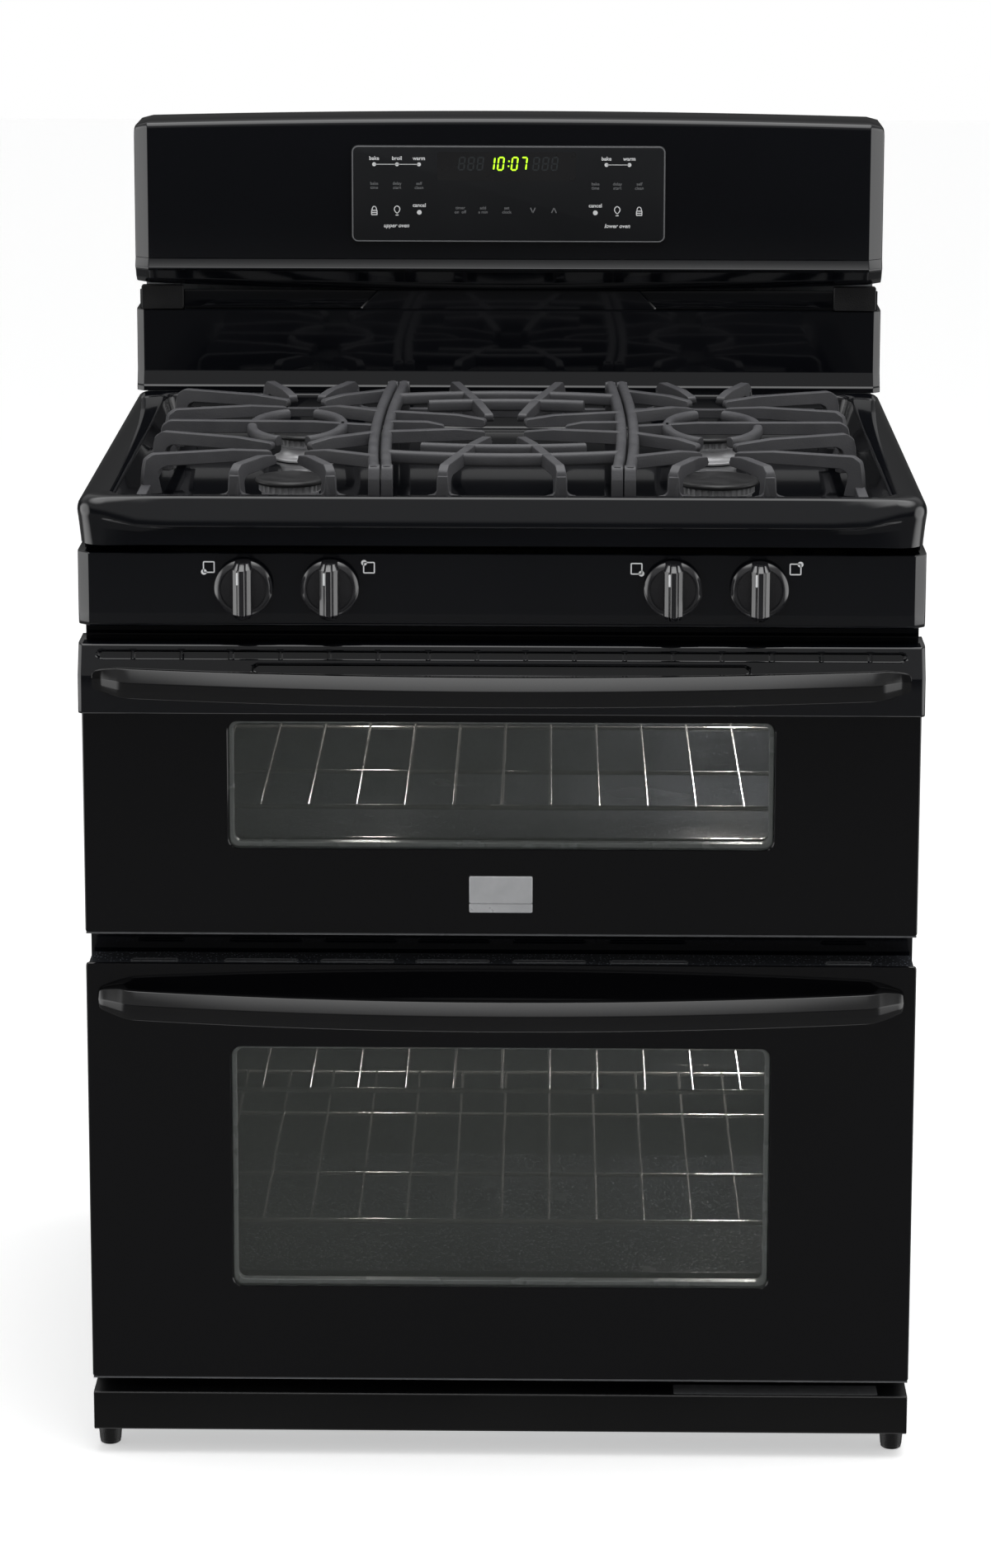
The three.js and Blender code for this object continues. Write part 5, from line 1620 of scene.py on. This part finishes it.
@dataclass
class Controls:
    """The knob panel with its printed marks, and the four knobs on their stems."""

    front: float = -302.0
    back: float = -252.0
    low: float = 790.0
    high: float = 858.0
    end_width: float = 11.0
    knob_radius: float = 26.0
    knob_back: float = -305.5
    knob_front: float = -336.5

    def panel(self) -> Shape:
        """A rounded YZ profile carried along X, its ends cut back flat.

        Returns:
            The closed shape.
        """
        profile = rounded([
            (self.back, self.low, 0), (self.front + 1.5, self.low, 5), (self.front, self.low + 12, 20),
            (self.front, self.high - 1, 0), (self.front + 1.0, self.high, 4.0), (self.back, self.high, 0),
        ], 5)
        front = np.clip((self.back - profile[:, 0]) / (self.back - self.front - 8), 0, 1)
        return carried(profile, front, self.end_width)

    def marks(self) -> Shape:
        """A square for the cooktop beside each knob, with a dot in the corner of its burner.

        Returns:
            All the marks in one shape.
        """
        y, z, half = self.front - 0.1, 845.0, 5.3
        places = [(-261.3, -1, -1), (-118.2, -1, 1), (120.5, 1, -1), (262.2, 1, 1)]
        parts = []
        for x, side, row in places:
            square = round_rect(x - half, x + half, z - half, z + half, 1.2, 3)
            parts.append(line_loop(square, 1.05, y))
            parts.append(disc(x + side * 4.4, z + row * 4.4, 2.6, y))
        return total(parts)

    def knob_skirt(self) -> Shape:
        """The disc: turned, with a wide chamfer round a sunken face; its axis lies along Y.

        Returns:
            The closed shape.
        """
        r = self.knob_radius
        shape = turned([
            (0, 0.4), (r - 1.2, 0.4), (r, 1.2), (r, 5.6), (r - 0.4, 6.2), (r - 4.6, 8.9), (r - 5.0, 9.0),
            (r - 5.4, 8.7), (r - 5.8, 7.6), (r * 0.5, 7.4), (0, 7.4),
        ], 72)
        p = shape.points
        return outward(Shape(np.stack([p[:, 0], self.knob_back - p[:, 2], p[:, 1]], -1), shape.faces))

    def knob_grip(self) -> Shape:
        """The upright grip: a ridged plan outline carried up Z, its ends cut back in a chamfer.

        Rings at rising heights shrink towards the axis and lose depth near both ends.

        Returns:
            The closed shape.
        """
        b, f = self.knob_back, self.knob_front
        side = [
            (8.8, b - 6), (8.6, f + 9.0), (8.0, f + 6.6), (4.6, f + 3.6), (3.9, f + 3.4), (3.2, f + 2.2),
            (2.9, f + 0.8), (2.0, f), (0.9, f + 0.4), (0.5, f + 0.2),
        ]
        outline = np.array(side + [(-x, y) for x, y in reversed(side)])
        levels = [
            (-26.0, 0.60, 11.0), (-25.2, 0.78, 8.0), (-20.0, 1.0, 0.0), (20.5, 1.0, 0.0),
            (25.2, 0.8, 7.0), (26.0, 0.62, 10.0),
        ]
        rings = []
        for z, width, loss in levels:
            y = np.minimum(outline[:, 1] + loss, b - 5.9)
            rings.append(np.column_stack([outline[:, 0] * width, y, np.full(len(outline), z)]))
        return outward(loft(np.array(rings)))

    def build(self) -> None:
        """Builds the panel, its marks and the knobs, each knob on its dial body."""
        panel = self.panel()
        mesh_from("knob_panel_shell", panel, Finish.PORCELAIN, "range_body", ("knob_panel",), smooth=40)
        mesh_from("burner_marks", self.marks(), Extra.WHITE_INK, "range_body")
        f, plastic = self.knob_front, Finish.KNOB_PLASTIC
        for k, x in enumerate(KNOB_X, start=1):
            dial = f"dial_{k}"
            skirt = self.knob_skirt().moved(x, 0, KNOB_Z)
            mesh_from(f"knob_skirt_{k}", skirt, plastic, dial, (f"knob_{k}",), smooth=30)
            grip = self.knob_grip().moved(x, 0, KNOB_Z)
            mesh_from(f"knob_grip_{k}", grip, plastic, dial, bevel=0.5, smooth=20)
            pointer = prism(round_rect(-1.1, 1.1, 8.0, 19.0, 0.5, 2), Axis.Y, f + 1.15, f + 1.7)
            mesh_from(f"knob_pointer_{k}", pointer.moved(x - 3.6, 0, KNOB_Z), Extra.WHITE_INK, dial)
            dress(f"valve_stem_{k}", Finish.BRASS)
        dress("gas_manifold", Finish.ZINC_SHEET)


# ---- Doors -----------------------------------------------------------------------------------------


@dataclass
class BowHandle:
    """A handle that bows forward between two blocks, at one height on one door."""

    name: str
    body: str
    mount: float
    top: float
    half: float = 366.5
    foot: float = 30.0
    height: float = 27.0
    end_front: float = -326.0
    bar: float = 17.0
    end_bar: float = 9.0
    nose: float = 30.0

    def shape(self) -> Shape:
        """Rings across X: at x the front lies at end + (front - end) * (1 - (x / span)^2).

        The section is a rounded outline: a tall face that leans back at its foot, one broad
        sloping band above it and a flat back. Towards the ends the section gets lower, and its
        back runs to the door over the length of the feet.

        Returns:
            The closed shape.
        """
        t = np.linspace(-1, 1, 57)
        body = np.sin(t * math.pi / 2) * (self.half - 9)
        ends = np.array([0.0, 0.6, 1.6, 3.4, 6.4]) - self.half
        xs = np.concatenate([ends, body[1:-1], -ends[::-1]])
        share = xs / (self.half - 6)
        front = self.end_front + (HANDLE_FRONT_Y - self.end_front) * (1 - share ** 2)
        inset = self.half - np.abs(xs)
        nose = np.clip(1 - inset / self.nose, 0, 1)
        tip = 1 - np.sqrt(np.clip(1 - np.clip(1 - inset / 4.0, 0, 1) ** 2, 0, 1))
        front = np.minimum(front + 13.0 * nose + 4.0 * tip, self.mount - 1.0)
        inner_half = self.half - self.foot
        inner_share = np.clip(np.abs(xs) / inner_half, 0, 1)
        end_back = self.end_front + self.end_bar
        back = end_back + (HANDLE_FRONT_Y + self.bar - end_back) * (1 - inner_share ** 2)
        foot = smoothstep((np.abs(xs) - inner_half) / 7.0)
        back = back + (self.mount - back) * foot
        low = self.top - self.height + 6.0 * nose ** 1.4 + 3.0 * tip
        top = self.top - 5.0 * nose ** 2 - 3.0 * tip
        rings = []
        for x, f, b, lo, hi in zip(xs, front, back, low, top):
            h = hi - lo
            deep = max(b - f, 2.0)
            slope = min(7.6, deep * 0.5)
            section = rounded([
                (f + 2.6, lo, 2.2), (f + 0.5, lo + 0.3 * h, 6), (f, lo + 0.58 * h, 2.2),
                (f + slope, hi - 0.4, 1.6), (f + slope + 1.6, hi, 0.8), (b, hi, 2.5), (b, lo, 2.5),
            ], 4)
            rings.append(np.column_stack([np.full(len(section), x), section]))
        return outward(loft(np.array(rings)))

    def build(self) -> None:
        """Builds the handle."""
        mesh_from(f"{self.name}_bar", self.shape(), Finish.HANDLE_PLASTIC, self.body, (self.name,), smooth=48)


@dataclass
class DoorTrim:
    """The sloped cap along the upper door's top, with two recessed vent strips."""

    low: float = 712.5
    high: float = 774.5
    front: float = -314.0
    edge: float = -302.0
    back: float = -258.2
    slope_low: float = 748.5
    end_width: float = 4.0
    recess: float = 4.2
    strips: tuple[tuple[float, float, float], ...] = ((361.0, 762.0, 768.6), (222.0, 750.6, 757.4))

    def shape(self) -> Shape:
        """A fine grid over the profile, pushed in where it lies inside a strip.

        The profile runs up the face, over the edge, up the slope and back over the top. A
        point's push is recess * smoothstep(1 - d / 0.9), d being its distance outside the
        strip's rounded outline, with ribs left at a 44 mm pitch inside the long strip.

        Returns:
            The closed shape.
        """
        low, high, foot = self.low, self.high, self.slope_low
        y0, y1 = self.front, self.edge
        face = [
            (self.back, low + 0.4), (-297.0, low), (y0 + 2, low), (y0 + 0.5, low + 0.7), (y0, low + 2.2),
            (y0, foot - 3.0), (y0 + 0.15, foot - 1.2),
        ]
        start, end = np.array([y0 + 0.6, foot]), np.array([y1, high - 1.6])
        ramp = start + np.linspace(0, 1, 34)[:, None] * (end - start)
        top = [(y1 + 0.9, high - 0.5), (y1 + 2.4, high), (self.back, high)]
        profile = np.vstack([face, ramp, top])
        span, crowded, ends = HALF_WIDTH - 8.0, 13, stations(self.end_width)
        xs = np.concatenate([ends[:crowded], np.linspace(-span, span, 512), ends[-crowded:]])
        x, z = np.meshgrid(xs, profile[:, 1], indexing="ij")
        push = np.zeros_like(x)
        for half, a, b in self.strips:
            r = (b - a) / 2
            d = np.hypot(np.clip(np.abs(x) - (half - r), 0, None), z - (a + b) / 2) - r
            cell = np.abs((x + 22) % 44 - 22)
            rib = np.where((half > 300) & (cell > 20.4), 0.45, 1.0)
            push = np.maximum(push, self.recess * smoothstep(1 - d / 0.9) * rib)
        push *= (profile[:, 1] > foot) & (profile[:, 0] < y1 + 1)
        lean = math.atan2(y1 - y0, high - foot)
        depth = np.clip((self.back - profile[:, 0]) / 30, 0, 1)
        setback = depth * fall_back(xs, self.end_width)[:, None]
        rings = np.stack([
            x, profile[:, 0] + push * math.cos(lean) + setback, z - push * math.sin(lean),
        ], -1)
        return outward(loft(rings))

    def build(self) -> None:
        """Builds the trim on the upper door."""
        replaced = ("door_upper_trim",)
        mesh_from("upper_door_cap", self.shape(), Finish.PORCELAIN, "upper_door", replaced, smooth=50)


@dataclass
class OvenDoor:
    """One oven door: its framed glass, window, edging, a foot strip that paints a highlight line, and inner
    glass.
    """

    name: str
    low: float
    high: float
    window: tuple[float, float]
    half: float = 377.5
    window_half: float = 246.0
    back: float = -296.0
    front: float = DOOR_FACE_Y
    inner_half: float = 258.0

    @property
    def body(self) -> str:
        """The CAD body of this door."""
        return f"{self.name}_door"

    def opening(self, side: float, foot: float, head: float, radius: float) -> Array:
        """The window's outline, cut back at its sides, foot and head, with a corner radius."""
        half, (w0, w1) = self.window_half - side, self.window
        return round_rect(-half, half, w0 + foot, w1 - head, radius, 8)

    def build(self) -> None:
        """Builds the glasses, the edging and the grey strip of painted highlight along the foot, and dresses
        what lies behind.
        """
        name, body, front, back = self.name, self.body, self.front, self.back
        outer = round_rect(-self.half, self.half, self.low, self.high, 2.5, 8)
        glass = frame_ring(outer, self.opening(0, 0, 0, 9.0), Axis.Y, front, back, 1.1)
        replaced = (f"door_{name}_glass",)
        mesh_from(f"{name}_door_glass", glass, Finish.BLACK_GLASS, body, replaced, smooth=40)
        fit = self.opening(0.4, 0.4, 0.4, 8.6)
        # The pane's grey film is partly painted haze of light that brightens the window.
        pane = slab([(fit, front + 0.4), (fit, back)], Axis.Y)
        mesh_from(f"{name}_window_glass", pane, Finish.WINDOW_PANE, body, smooth=40)
        edge_out, edge_in = self.opening(0.5, 0.5, 0.5, 8.5), self.opening(4.6, 5.0, 2.4, 7.0)
        rim = frame_ring(edge_out, edge_in, Axis.Y, back + 0.4, back + 9.0, 0.5)
        mesh_from(f"{name}_window_edge", rim, Extra.TRIM_EDGE, body, smooth=40)
        # A grey strip along the door's foot edge: a painted highlight line.
        section = round_rect(front + 0.4, back, self.low - 1.7, self.low + 0.3, 0.7, 3)
        strip = prism(section, Axis.X, -self.half + 0.7, self.half - 0.7)
        mesh_from(f"{name}_door_foot_highlight", strip, Extra.LIP, body)
        dress(f"door_{name}_pan", Finish.OVEN_ENAMEL)
        half, (w0, w1) = self.inner_half, self.window
        inner = round_rect(-half, half, w0 - 12, w1 + 12, 10.0, 8)
        face = round_rect(-half + 0.6, half - 0.6, w0 - 11.4, w1 + 11.4, 9.4, 8)
        inner_pane = slab([(face, -263.8), (inner, -263.2), (inner, -260.4), (face, -259.8)], Axis.Y)
        replaced = (f"door_{name}_inner_pane",)
        # The inner pane wears the same film, partly painted haze of light.
        mesh_from(f"{name}_inner_glass", inner_pane, Finish.WINDOW_PANE, body, replaced, smooth=40)
        for side in ("left", "right"):
            dress(f"hinge_arm_{name}_{side}", Finish.STEEL)


def top_slots(high: float, face: float) -> Shape:
    """Raised lips of the vent slots in the lower door's top edge, as flat frames whose grey paints a
    highlight along each edge.

    Args:
        high: height of the door pan's top, mm.
        face: the Y of the slots' front edge, mm.

    Returns:
        The lips.
    """
    spans = [(-338, -294), (-253, -185), (-165, -97), (-78, -10), (10, 78), (99, 171), (295, 338)]
    parts = []
    for a, b in spans:
        outer = round_rect(a, b, face, face + 9.0, 4.0, 4)
        inner = round_rect(a + 1.3, b - 1.3, face + 1.3, face + 7.7, 2.9, 4)
        parts.append(frame_ring(outer, inner, Axis.Z, high, high + 1.2, 0.2))
    return total(parts)


def badge_plate(z0: float, z1: float, y: float) -> Shape:
    """A slab on the upper door with a rolled front edge.

    Args:
        z0: its foot, mm.
        z1: its top, mm.
        y: its face, mm.

    Returns:
        The closed shape.
    """
    half = 28.6
    outline = round_rect(-half, half, z0, z1, 1.2, 4)
    face = round_rect(-half + 0.5, half - 0.5, z0 + 0.5, z1 - 0.5, 0.8, 4)
    return slab([(outline, DOOR_FACE_Y), (outline, y + 0.5), (face, y)], Axis.Y)


def badge() -> Shape:
    """A blank two-step plate: a raised upper part over a narrow lower band."""
    return badge_plate(535.0, 560.0, -302.2) + badge_plate(526.0, 534.6, -301.4)


# ---- Body, ovens and racks -------------------------------------------------------------------------


def dress(node: str, finish: Finish) -> None:
    """Gives a CAD node the material of a finish.

    Args:
        node: the node's name.
        finish: the finish it wears.
    """
    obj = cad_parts[node]
    obj.data.materials.clear()
    obj.data.materials.append(PALETTE.get(finish))
    LOG.info("dressed %s in %s", node, finish.value)


class Rack(Enum):
    """The three oven racks: CAD node, body and wire height in mm."""

    UPPER_OVEN = ("rack_upper_oven", "upper_rack", 604.5)
    LOWER_BOTTOM = ("rack_lower_bottom", "lower_rack_bottom", 204.0)
    LOWER_TOP = ("rack_lower_top", "lower_rack_top", 332.0)


@dataclass
class Ovens:
    """Body sheet work, ovens, burners, feet and racks."""

    half: float = 296.4
    rack_front: float = -226.2
    rack_back: float = 209.8
    wire: float = 2.5
    rod: float = 1.5

    def rack(self, z: float) -> Shape:
        """A rack: a closed outer wire with round corners, two cross wires and 13 rods.

        Rods run front to back at the rack pitch, welded to the front and rear wires.

        Args:
            z: height of the outer wire's middle, mm.

        Returns:
            All its wires in one shape.
        """
        outline = round_rect(-self.half, self.half, self.rack_front, self.rack_back, 16.0, 5)
        parts = [tube(np.column_stack([outline, np.full(len(outline), z)]), self.wire, 8, True)]
        for y in (self.rack_front + 130, self.rack_back - 130):
            along = np.linspace(-self.half, self.half, 6)
            line = np.column_stack([along, np.full(6, y), np.full(6, z - 0.4)])
            parts.append(tube(line, self.wire * 0.85))
        bottom, top = self.rack_front + 0.2, self.rack_back - 0.2
        for k in range(-6, 7):
            x, steps = k * RACK_PITCH, (bottom, bottom + 8, top - 8, top)
            parts.append(tube(np.array([[x, y, z + 1.0] for y in steps]), self.rod))
        return total(parts)

    def leg(self) -> Shape:
        """A levelling foot: a tapered moulded body with a stepped pad, turned about Z.

        Returns:
            The closed shape.
        """
        return turned([
            (0, 0.0), (8.6, 0.0), (9.4, 0.6), (9.6, 2.2), (9.4, 2.8), (10.0, 3.4), (10.7, 12.0),
            (11.2, 20.6), (10.8, 21.6), (6.0, 22.0), (6.0, 23.6), (0, 23.6),
        ], 36)

    def kick(self) -> Shape:
        """The kick panel: a rounded YZ outline between its two ends."""
        outline = rounded([(-251.8, 24.2, 0), (-296.4, 24.2, 2.5), (-297.0, 61.8, 2.5), (-251.8, 61.8, 0)], 4)
        return prism(outline, Axis.X, -377.4, 377.4)

    def lamp_lens(self, z: float) -> Shape:
        """A domed lens on an oven's rear wall, turned about a line along Y.

        Args:
            z: height of its middle, mm.

        Returns:
            The closed shape.
        """
        lens = turned([(0, 0), (19, 0), (21, 1.5), (21, 4), (18, 9), (11, 13), (0, 14.5)], 32)
        q = lens.points
        return outward(Shape(np.stack([q[:, 0] + 236.0, 212.0 - q[:, 2], q[:, 1] + z], -1), lens.faces))

    def build(self) -> None:
        """Builds the racks, feet and kick panel, and dresses the rest of the body."""
        frame_body = "range_body"
        for rack in Rack:
            node, body, z = rack.value
            mesh_from(f"{node}_wires", self.rack(z), Finish.RACK_CHROME, body, (node,), smooth=60)
        for row, y in (("front", -265.0), ("rear", 330.0)):
            for side, x in (("left", -365.5), ("right", 365.5)):
                foot, place = self.leg().moved(x, y), f"{row}_{side}"
                mesh_from(f"foot_{place}", foot, Finish.DARK_PLASTIC, frame_body, (f"leg_{place}",))
        mesh_from("kick_cover", self.kick(), Finish.PAINTED_SIDE, frame_body, ("kick_panel",), bevel=0.8)
        plate = prism(round_rect(161, 350, -294, -272, 1.5, 3), Axis.Z, 61.7, 62.0)
        mesh_from("blank_plate", plate, Extra.DIM_INK, frame_body)
        # Grey slot lips: painted highlights along the vent slots' edges.
        mesh_from("lower_door_slot_highlights", top_slots(474.4, -289.0), Extra.LIP, "lower_door")
        mesh_from("blank_badge", badge(), Extra.NICKEL, "upper_door")
        for name, z in (("upper", 690.0), ("lower", 414.0)):
            mesh_from(f"{name}_oven_lamp", self.lamp_lens(z), Extra.LAMP_GLASS, frame_body)
        for node, finish in {
            "side_panel_left": Finish.PAINTED_SIDE, "side_panel_right": Finish.PAINTED_SIDE,
            "back_panel": Finish.ZINC_SHEET, "base_pan": Finish.ZINC_SHEET, "front_frame": Finish.PORCELAIN,
            "oven_liner_lower": Finish.OVEN_ENAMEL, "oven_liner_upper": Finish.OVEN_ENAMEL,
            "insulation_wrap": Finish.GLASS_FIBRE, "gasket_lower": Finish.GASKET_BRAID,
            "gasket_upper": Finish.GASKET_BRAID, "bake_burner": Finish.STEEL, "broil_burner": Finish.STEEL,
        }.items():
            dress(node, finish)


# ---- Studio ------------------------------------------------------------------------------------------


@dataclass
class Studio:
    """Floor, soft light and the camera."""

    spot: tuple[float, float, float] = (0.0425, -4.0500, 1.6250)
    pitch: float = 10.78
    yaw: float = 0.732
    roll: float = 0.088
    focal: float = 5200.0
    centre_row: float = 600.0
    rows: float = 1900.0
    room: float = 0.05
    near_floor: float = 0.09
    floor_glow: float = 0.8
    glow: float = 0.28
    ceiling: float = 2.2
    walls: float = 1.8
    ambient: float = 0.55
    lamp: float = 8.0
    fill: float = 1.2

    def camera(self) -> None:
        """The camera, from its place, its three angles, focal length and optical centre.

        Forward is (-sin yaw cos pitch, cos yaw cos pitch, -sin pitch), right is level, and
        both side vectors are then turned by the roll.
        """
        p, y, r = (math.radians(v) for v in (self.pitch, self.yaw, self.roll))
        ahead = Vector((-math.sin(y) * math.cos(p), math.cos(y) * math.cos(p), -math.sin(p)))
        right = Vector((math.cos(y), math.sin(y), 0.0))
        up = right.cross(ahead)
        right, up = right * math.cos(r) + up * math.sin(r), up * math.cos(r) - right * math.sin(r)
        data = bpy.data.cameras.new("camera")
        data.sensor_fit, data.sensor_width, data.sensor_height = "AUTO", 36.0, 36.0
        data.lens = self.focal / self.rows * 36.0
        data.shift_y = -(self.rows / 2 - self.centre_row) / self.rows
        data.clip_end = 60.0
        obj = bpy.data.objects.new("camera", data)
        bpy.context.scene.collection.objects.link(obj)
        turn = Matrix((right, up, -ahead)).transposed()
        obj.matrix_world = Matrix.Translation(Vector(self.spot)) @ turn.to_4x4()
        bpy.context.scene.camera = obj

    def softbox(self, name: str, at: Vector, aim: Vector, size: tuple[float, float], radiance: float) -> None:
        """A rectangular area light of even radiance: power is radiance * pi * area.

        Args:
            name: the light's name.
            at: its place, m.
            aim: the point it faces, m.
            size: its two sides, m.
            radiance: how bright its face looks.
        """
        data = bpy.data.lights.new(name, "AREA")
        data.shape = "RECTANGLE"
        data.size, data.size_y = size
        data.energy = radiance * math.pi * size[0] * size[1]
        obj = bpy.data.objects.new(name, data)
        obj.visible_glossy = False
        bpy.context.scene.collection.objects.link(obj)
        facing = (at - aim).to_track_quat("Z", "Y").to_matrix().to_4x4()
        obj.matrix_world = Matrix.Translation(at) @ facing

    def oven_lamp(self, at: tuple[float, float, float], power: float) -> None:
        """A small warm lamp in an oven.

        Args:
            at: its place, m.
            power: its power, W.
        """
        data = bpy.data.lights.new("oven_lamp", "POINT")
        data.energy, data.shadow_soft_size, data.color = power, 0.02, (1.0, 0.96, 0.9)
        obj = bpy.data.objects.new("oven_lamp", data)
        obj.location = at
        bpy.context.scene.collection.objects.link(obj)

    def floor(self) -> None:
        """A pale matt floor that the camera sees, left out of mirror reflections."""
        t = np.linspace(-12.0, 12.0, 5)
        x, y = np.meshgrid(t, t, indexing="ij")
        shape = loft(np.stack([x, y, np.full_like(x, -0.0005)], -1) / MM, closed=False, caps=False)
        mesh = bpy.data.meshes.new("floor")
        mesh.from_pydata((shape.points * MM).tolist(), [], shape.faces)
        obj = bpy.data.objects.new("floor", mesh)
        bpy.context.scene.collection.objects.link(obj)
        mat = bpy.data.materials.new("pale_floor_paint")
        mat.use_nodes = True
        shader = mat.node_tree.nodes["Principled BSDF"]
        shader.inputs["Base Color"].default_value = linear("F4F4F4")
        shader.inputs["Roughness"].default_value = 0.9
        shader.inputs["Emission Color"].default_value = linear("F4F4F4")
        shader.inputs["Emission Strength"].default_value = 0.5
        obj.data.materials.append(mat)
        obj.visible_glossy = False

    def world(self) -> None:
        """A white room for the camera, an even dim one for soft light, and bands for gloss.

        What a mirror sees depends on the direction (x, y, z) it looks in. A dim room gains
        smooth steps of light: the near floor, the floor straight below, a glow that grows with
        height, a bright ceiling, and bright walls on both sides.
        """
        world = bpy.data.worlds.new("studio")
        bpy.context.scene.world = world
        world.use_nodes = True
        tree = world.node_tree
        tree.nodes.clear()
        path = add_node(tree, "ShaderNodeLightPath")
        place = add_node(tree, "ShaderNodeTexCoord")
        axes = add_node(tree, "ShaderNodeSeparateXYZ", {}, {}, {0: (place, "Generated")})
        side = add_node(tree, "ShaderNodeMath", {"operation": "ABSOLUTE"}, {}, {0: (axes, "X")})
        level: bpy.types.Node | None = None
        for source, out, start, end, strength in (
            (axes, "Z", -0.12, -0.3, self.near_floor), (axes, "Z", -0.9, -0.985, self.floor_glow),
            (axes, "Z", 0.15, 0.5, self.glow), (axes, "Z", 0.66, 0.92, self.ceiling),
            (side, "Value", 0.8, 0.95, self.walls),
        ):
            step = add_node(
                tree, "ShaderNodeMapRange", {"interpolation_type": "SMOOTHSTEP"},
                {"From Min": start, "From Max": end, "To Min": 0.0, "To Max": strength},
                {"Value": (source, out)},
            )
            base = {1: self.room} if level is None else {}
            terms = {0: (step, "Result")} if level is None else {0: (level, "Value"), 1: (step, "Result")}
            level = add_node(tree, "ShaderNodeMath", {"operation": "ADD"}, base, terms)
        gloss = add_node(tree, "ShaderNodeBackground", {}, {}, {"Strength": (level, "Value")})
        soft = add_node(tree, "ShaderNodeBackground", {}, {"Strength": self.ambient})
        white = add_node(tree, "ShaderNodeBackground", {}, {"Strength": 1.0})
        for node in (gloss, soft, white):
            node.inputs["Color"].default_value = linear("FFFFFF")
        lit, mix = (add_node(tree, "ShaderNodeMixShader") for _ in range(2))
        for node, ray, other, seen in (
            (lit, "Is Glossy Ray", soft, gloss), (mix, "Is Camera Ray", lit, white),
        ):
            for k, socket in enumerate((path.outputs[ray], other.outputs[0], seen.outputs[0])):
                tree.links.new(socket, node.inputs[k])
        add_node(tree, "ShaderNodeOutputWorld", {}, {}, {"Surface": (mix, 0)})

    def build(self) -> None:
        """Builds the camera, floor, world and softboxes."""
        self.camera()
        self.floor()
        self.world()
        self.softbox("overhead", Vector((0.3, -0.4, 3.0)), Vector((0.0, 0.0, 0.8)), (2.4, 2.0), 4.0)
        for z in (0.69, 0.44):
            self.oven_lamp((0.225, 0.15, z), self.lamp)
            self.oven_lamp((-0.13, 0.05, z - 0.01), self.fill)
        bpy.context.scene.view_settings.view_transform = "Standard"


# ---- Putting it together -----------------------------------------------------------------------------


def build_range() -> None:
    """Builds every sub-assembly in order."""
    Upstand().build()
    ControlGlass().build()
    Cooktop().build()
    Grates().build()
    Controls().build()
    OvenDoor("upper", 505.5, 712.2, (585.0, 703.0)).build()
    OvenDoor("lower", 78.0, 476.5, (167.5, 397.5)).build()
    DoorTrim().build()
    BowHandle("handle_upper", "upper_door", -314.3, 756.5).build()
    BowHandle("handle_lower", "lower_door", -300.3, 457.5).build()
    Ovens().build()


def main() -> None:
    """Builds the range and its studio."""
    logging.basicConfig(level=logging.INFO, format="%(name)s: %(message)s")
    build_range()
    Studio().build()


if __name__ == "__main__":
    main()
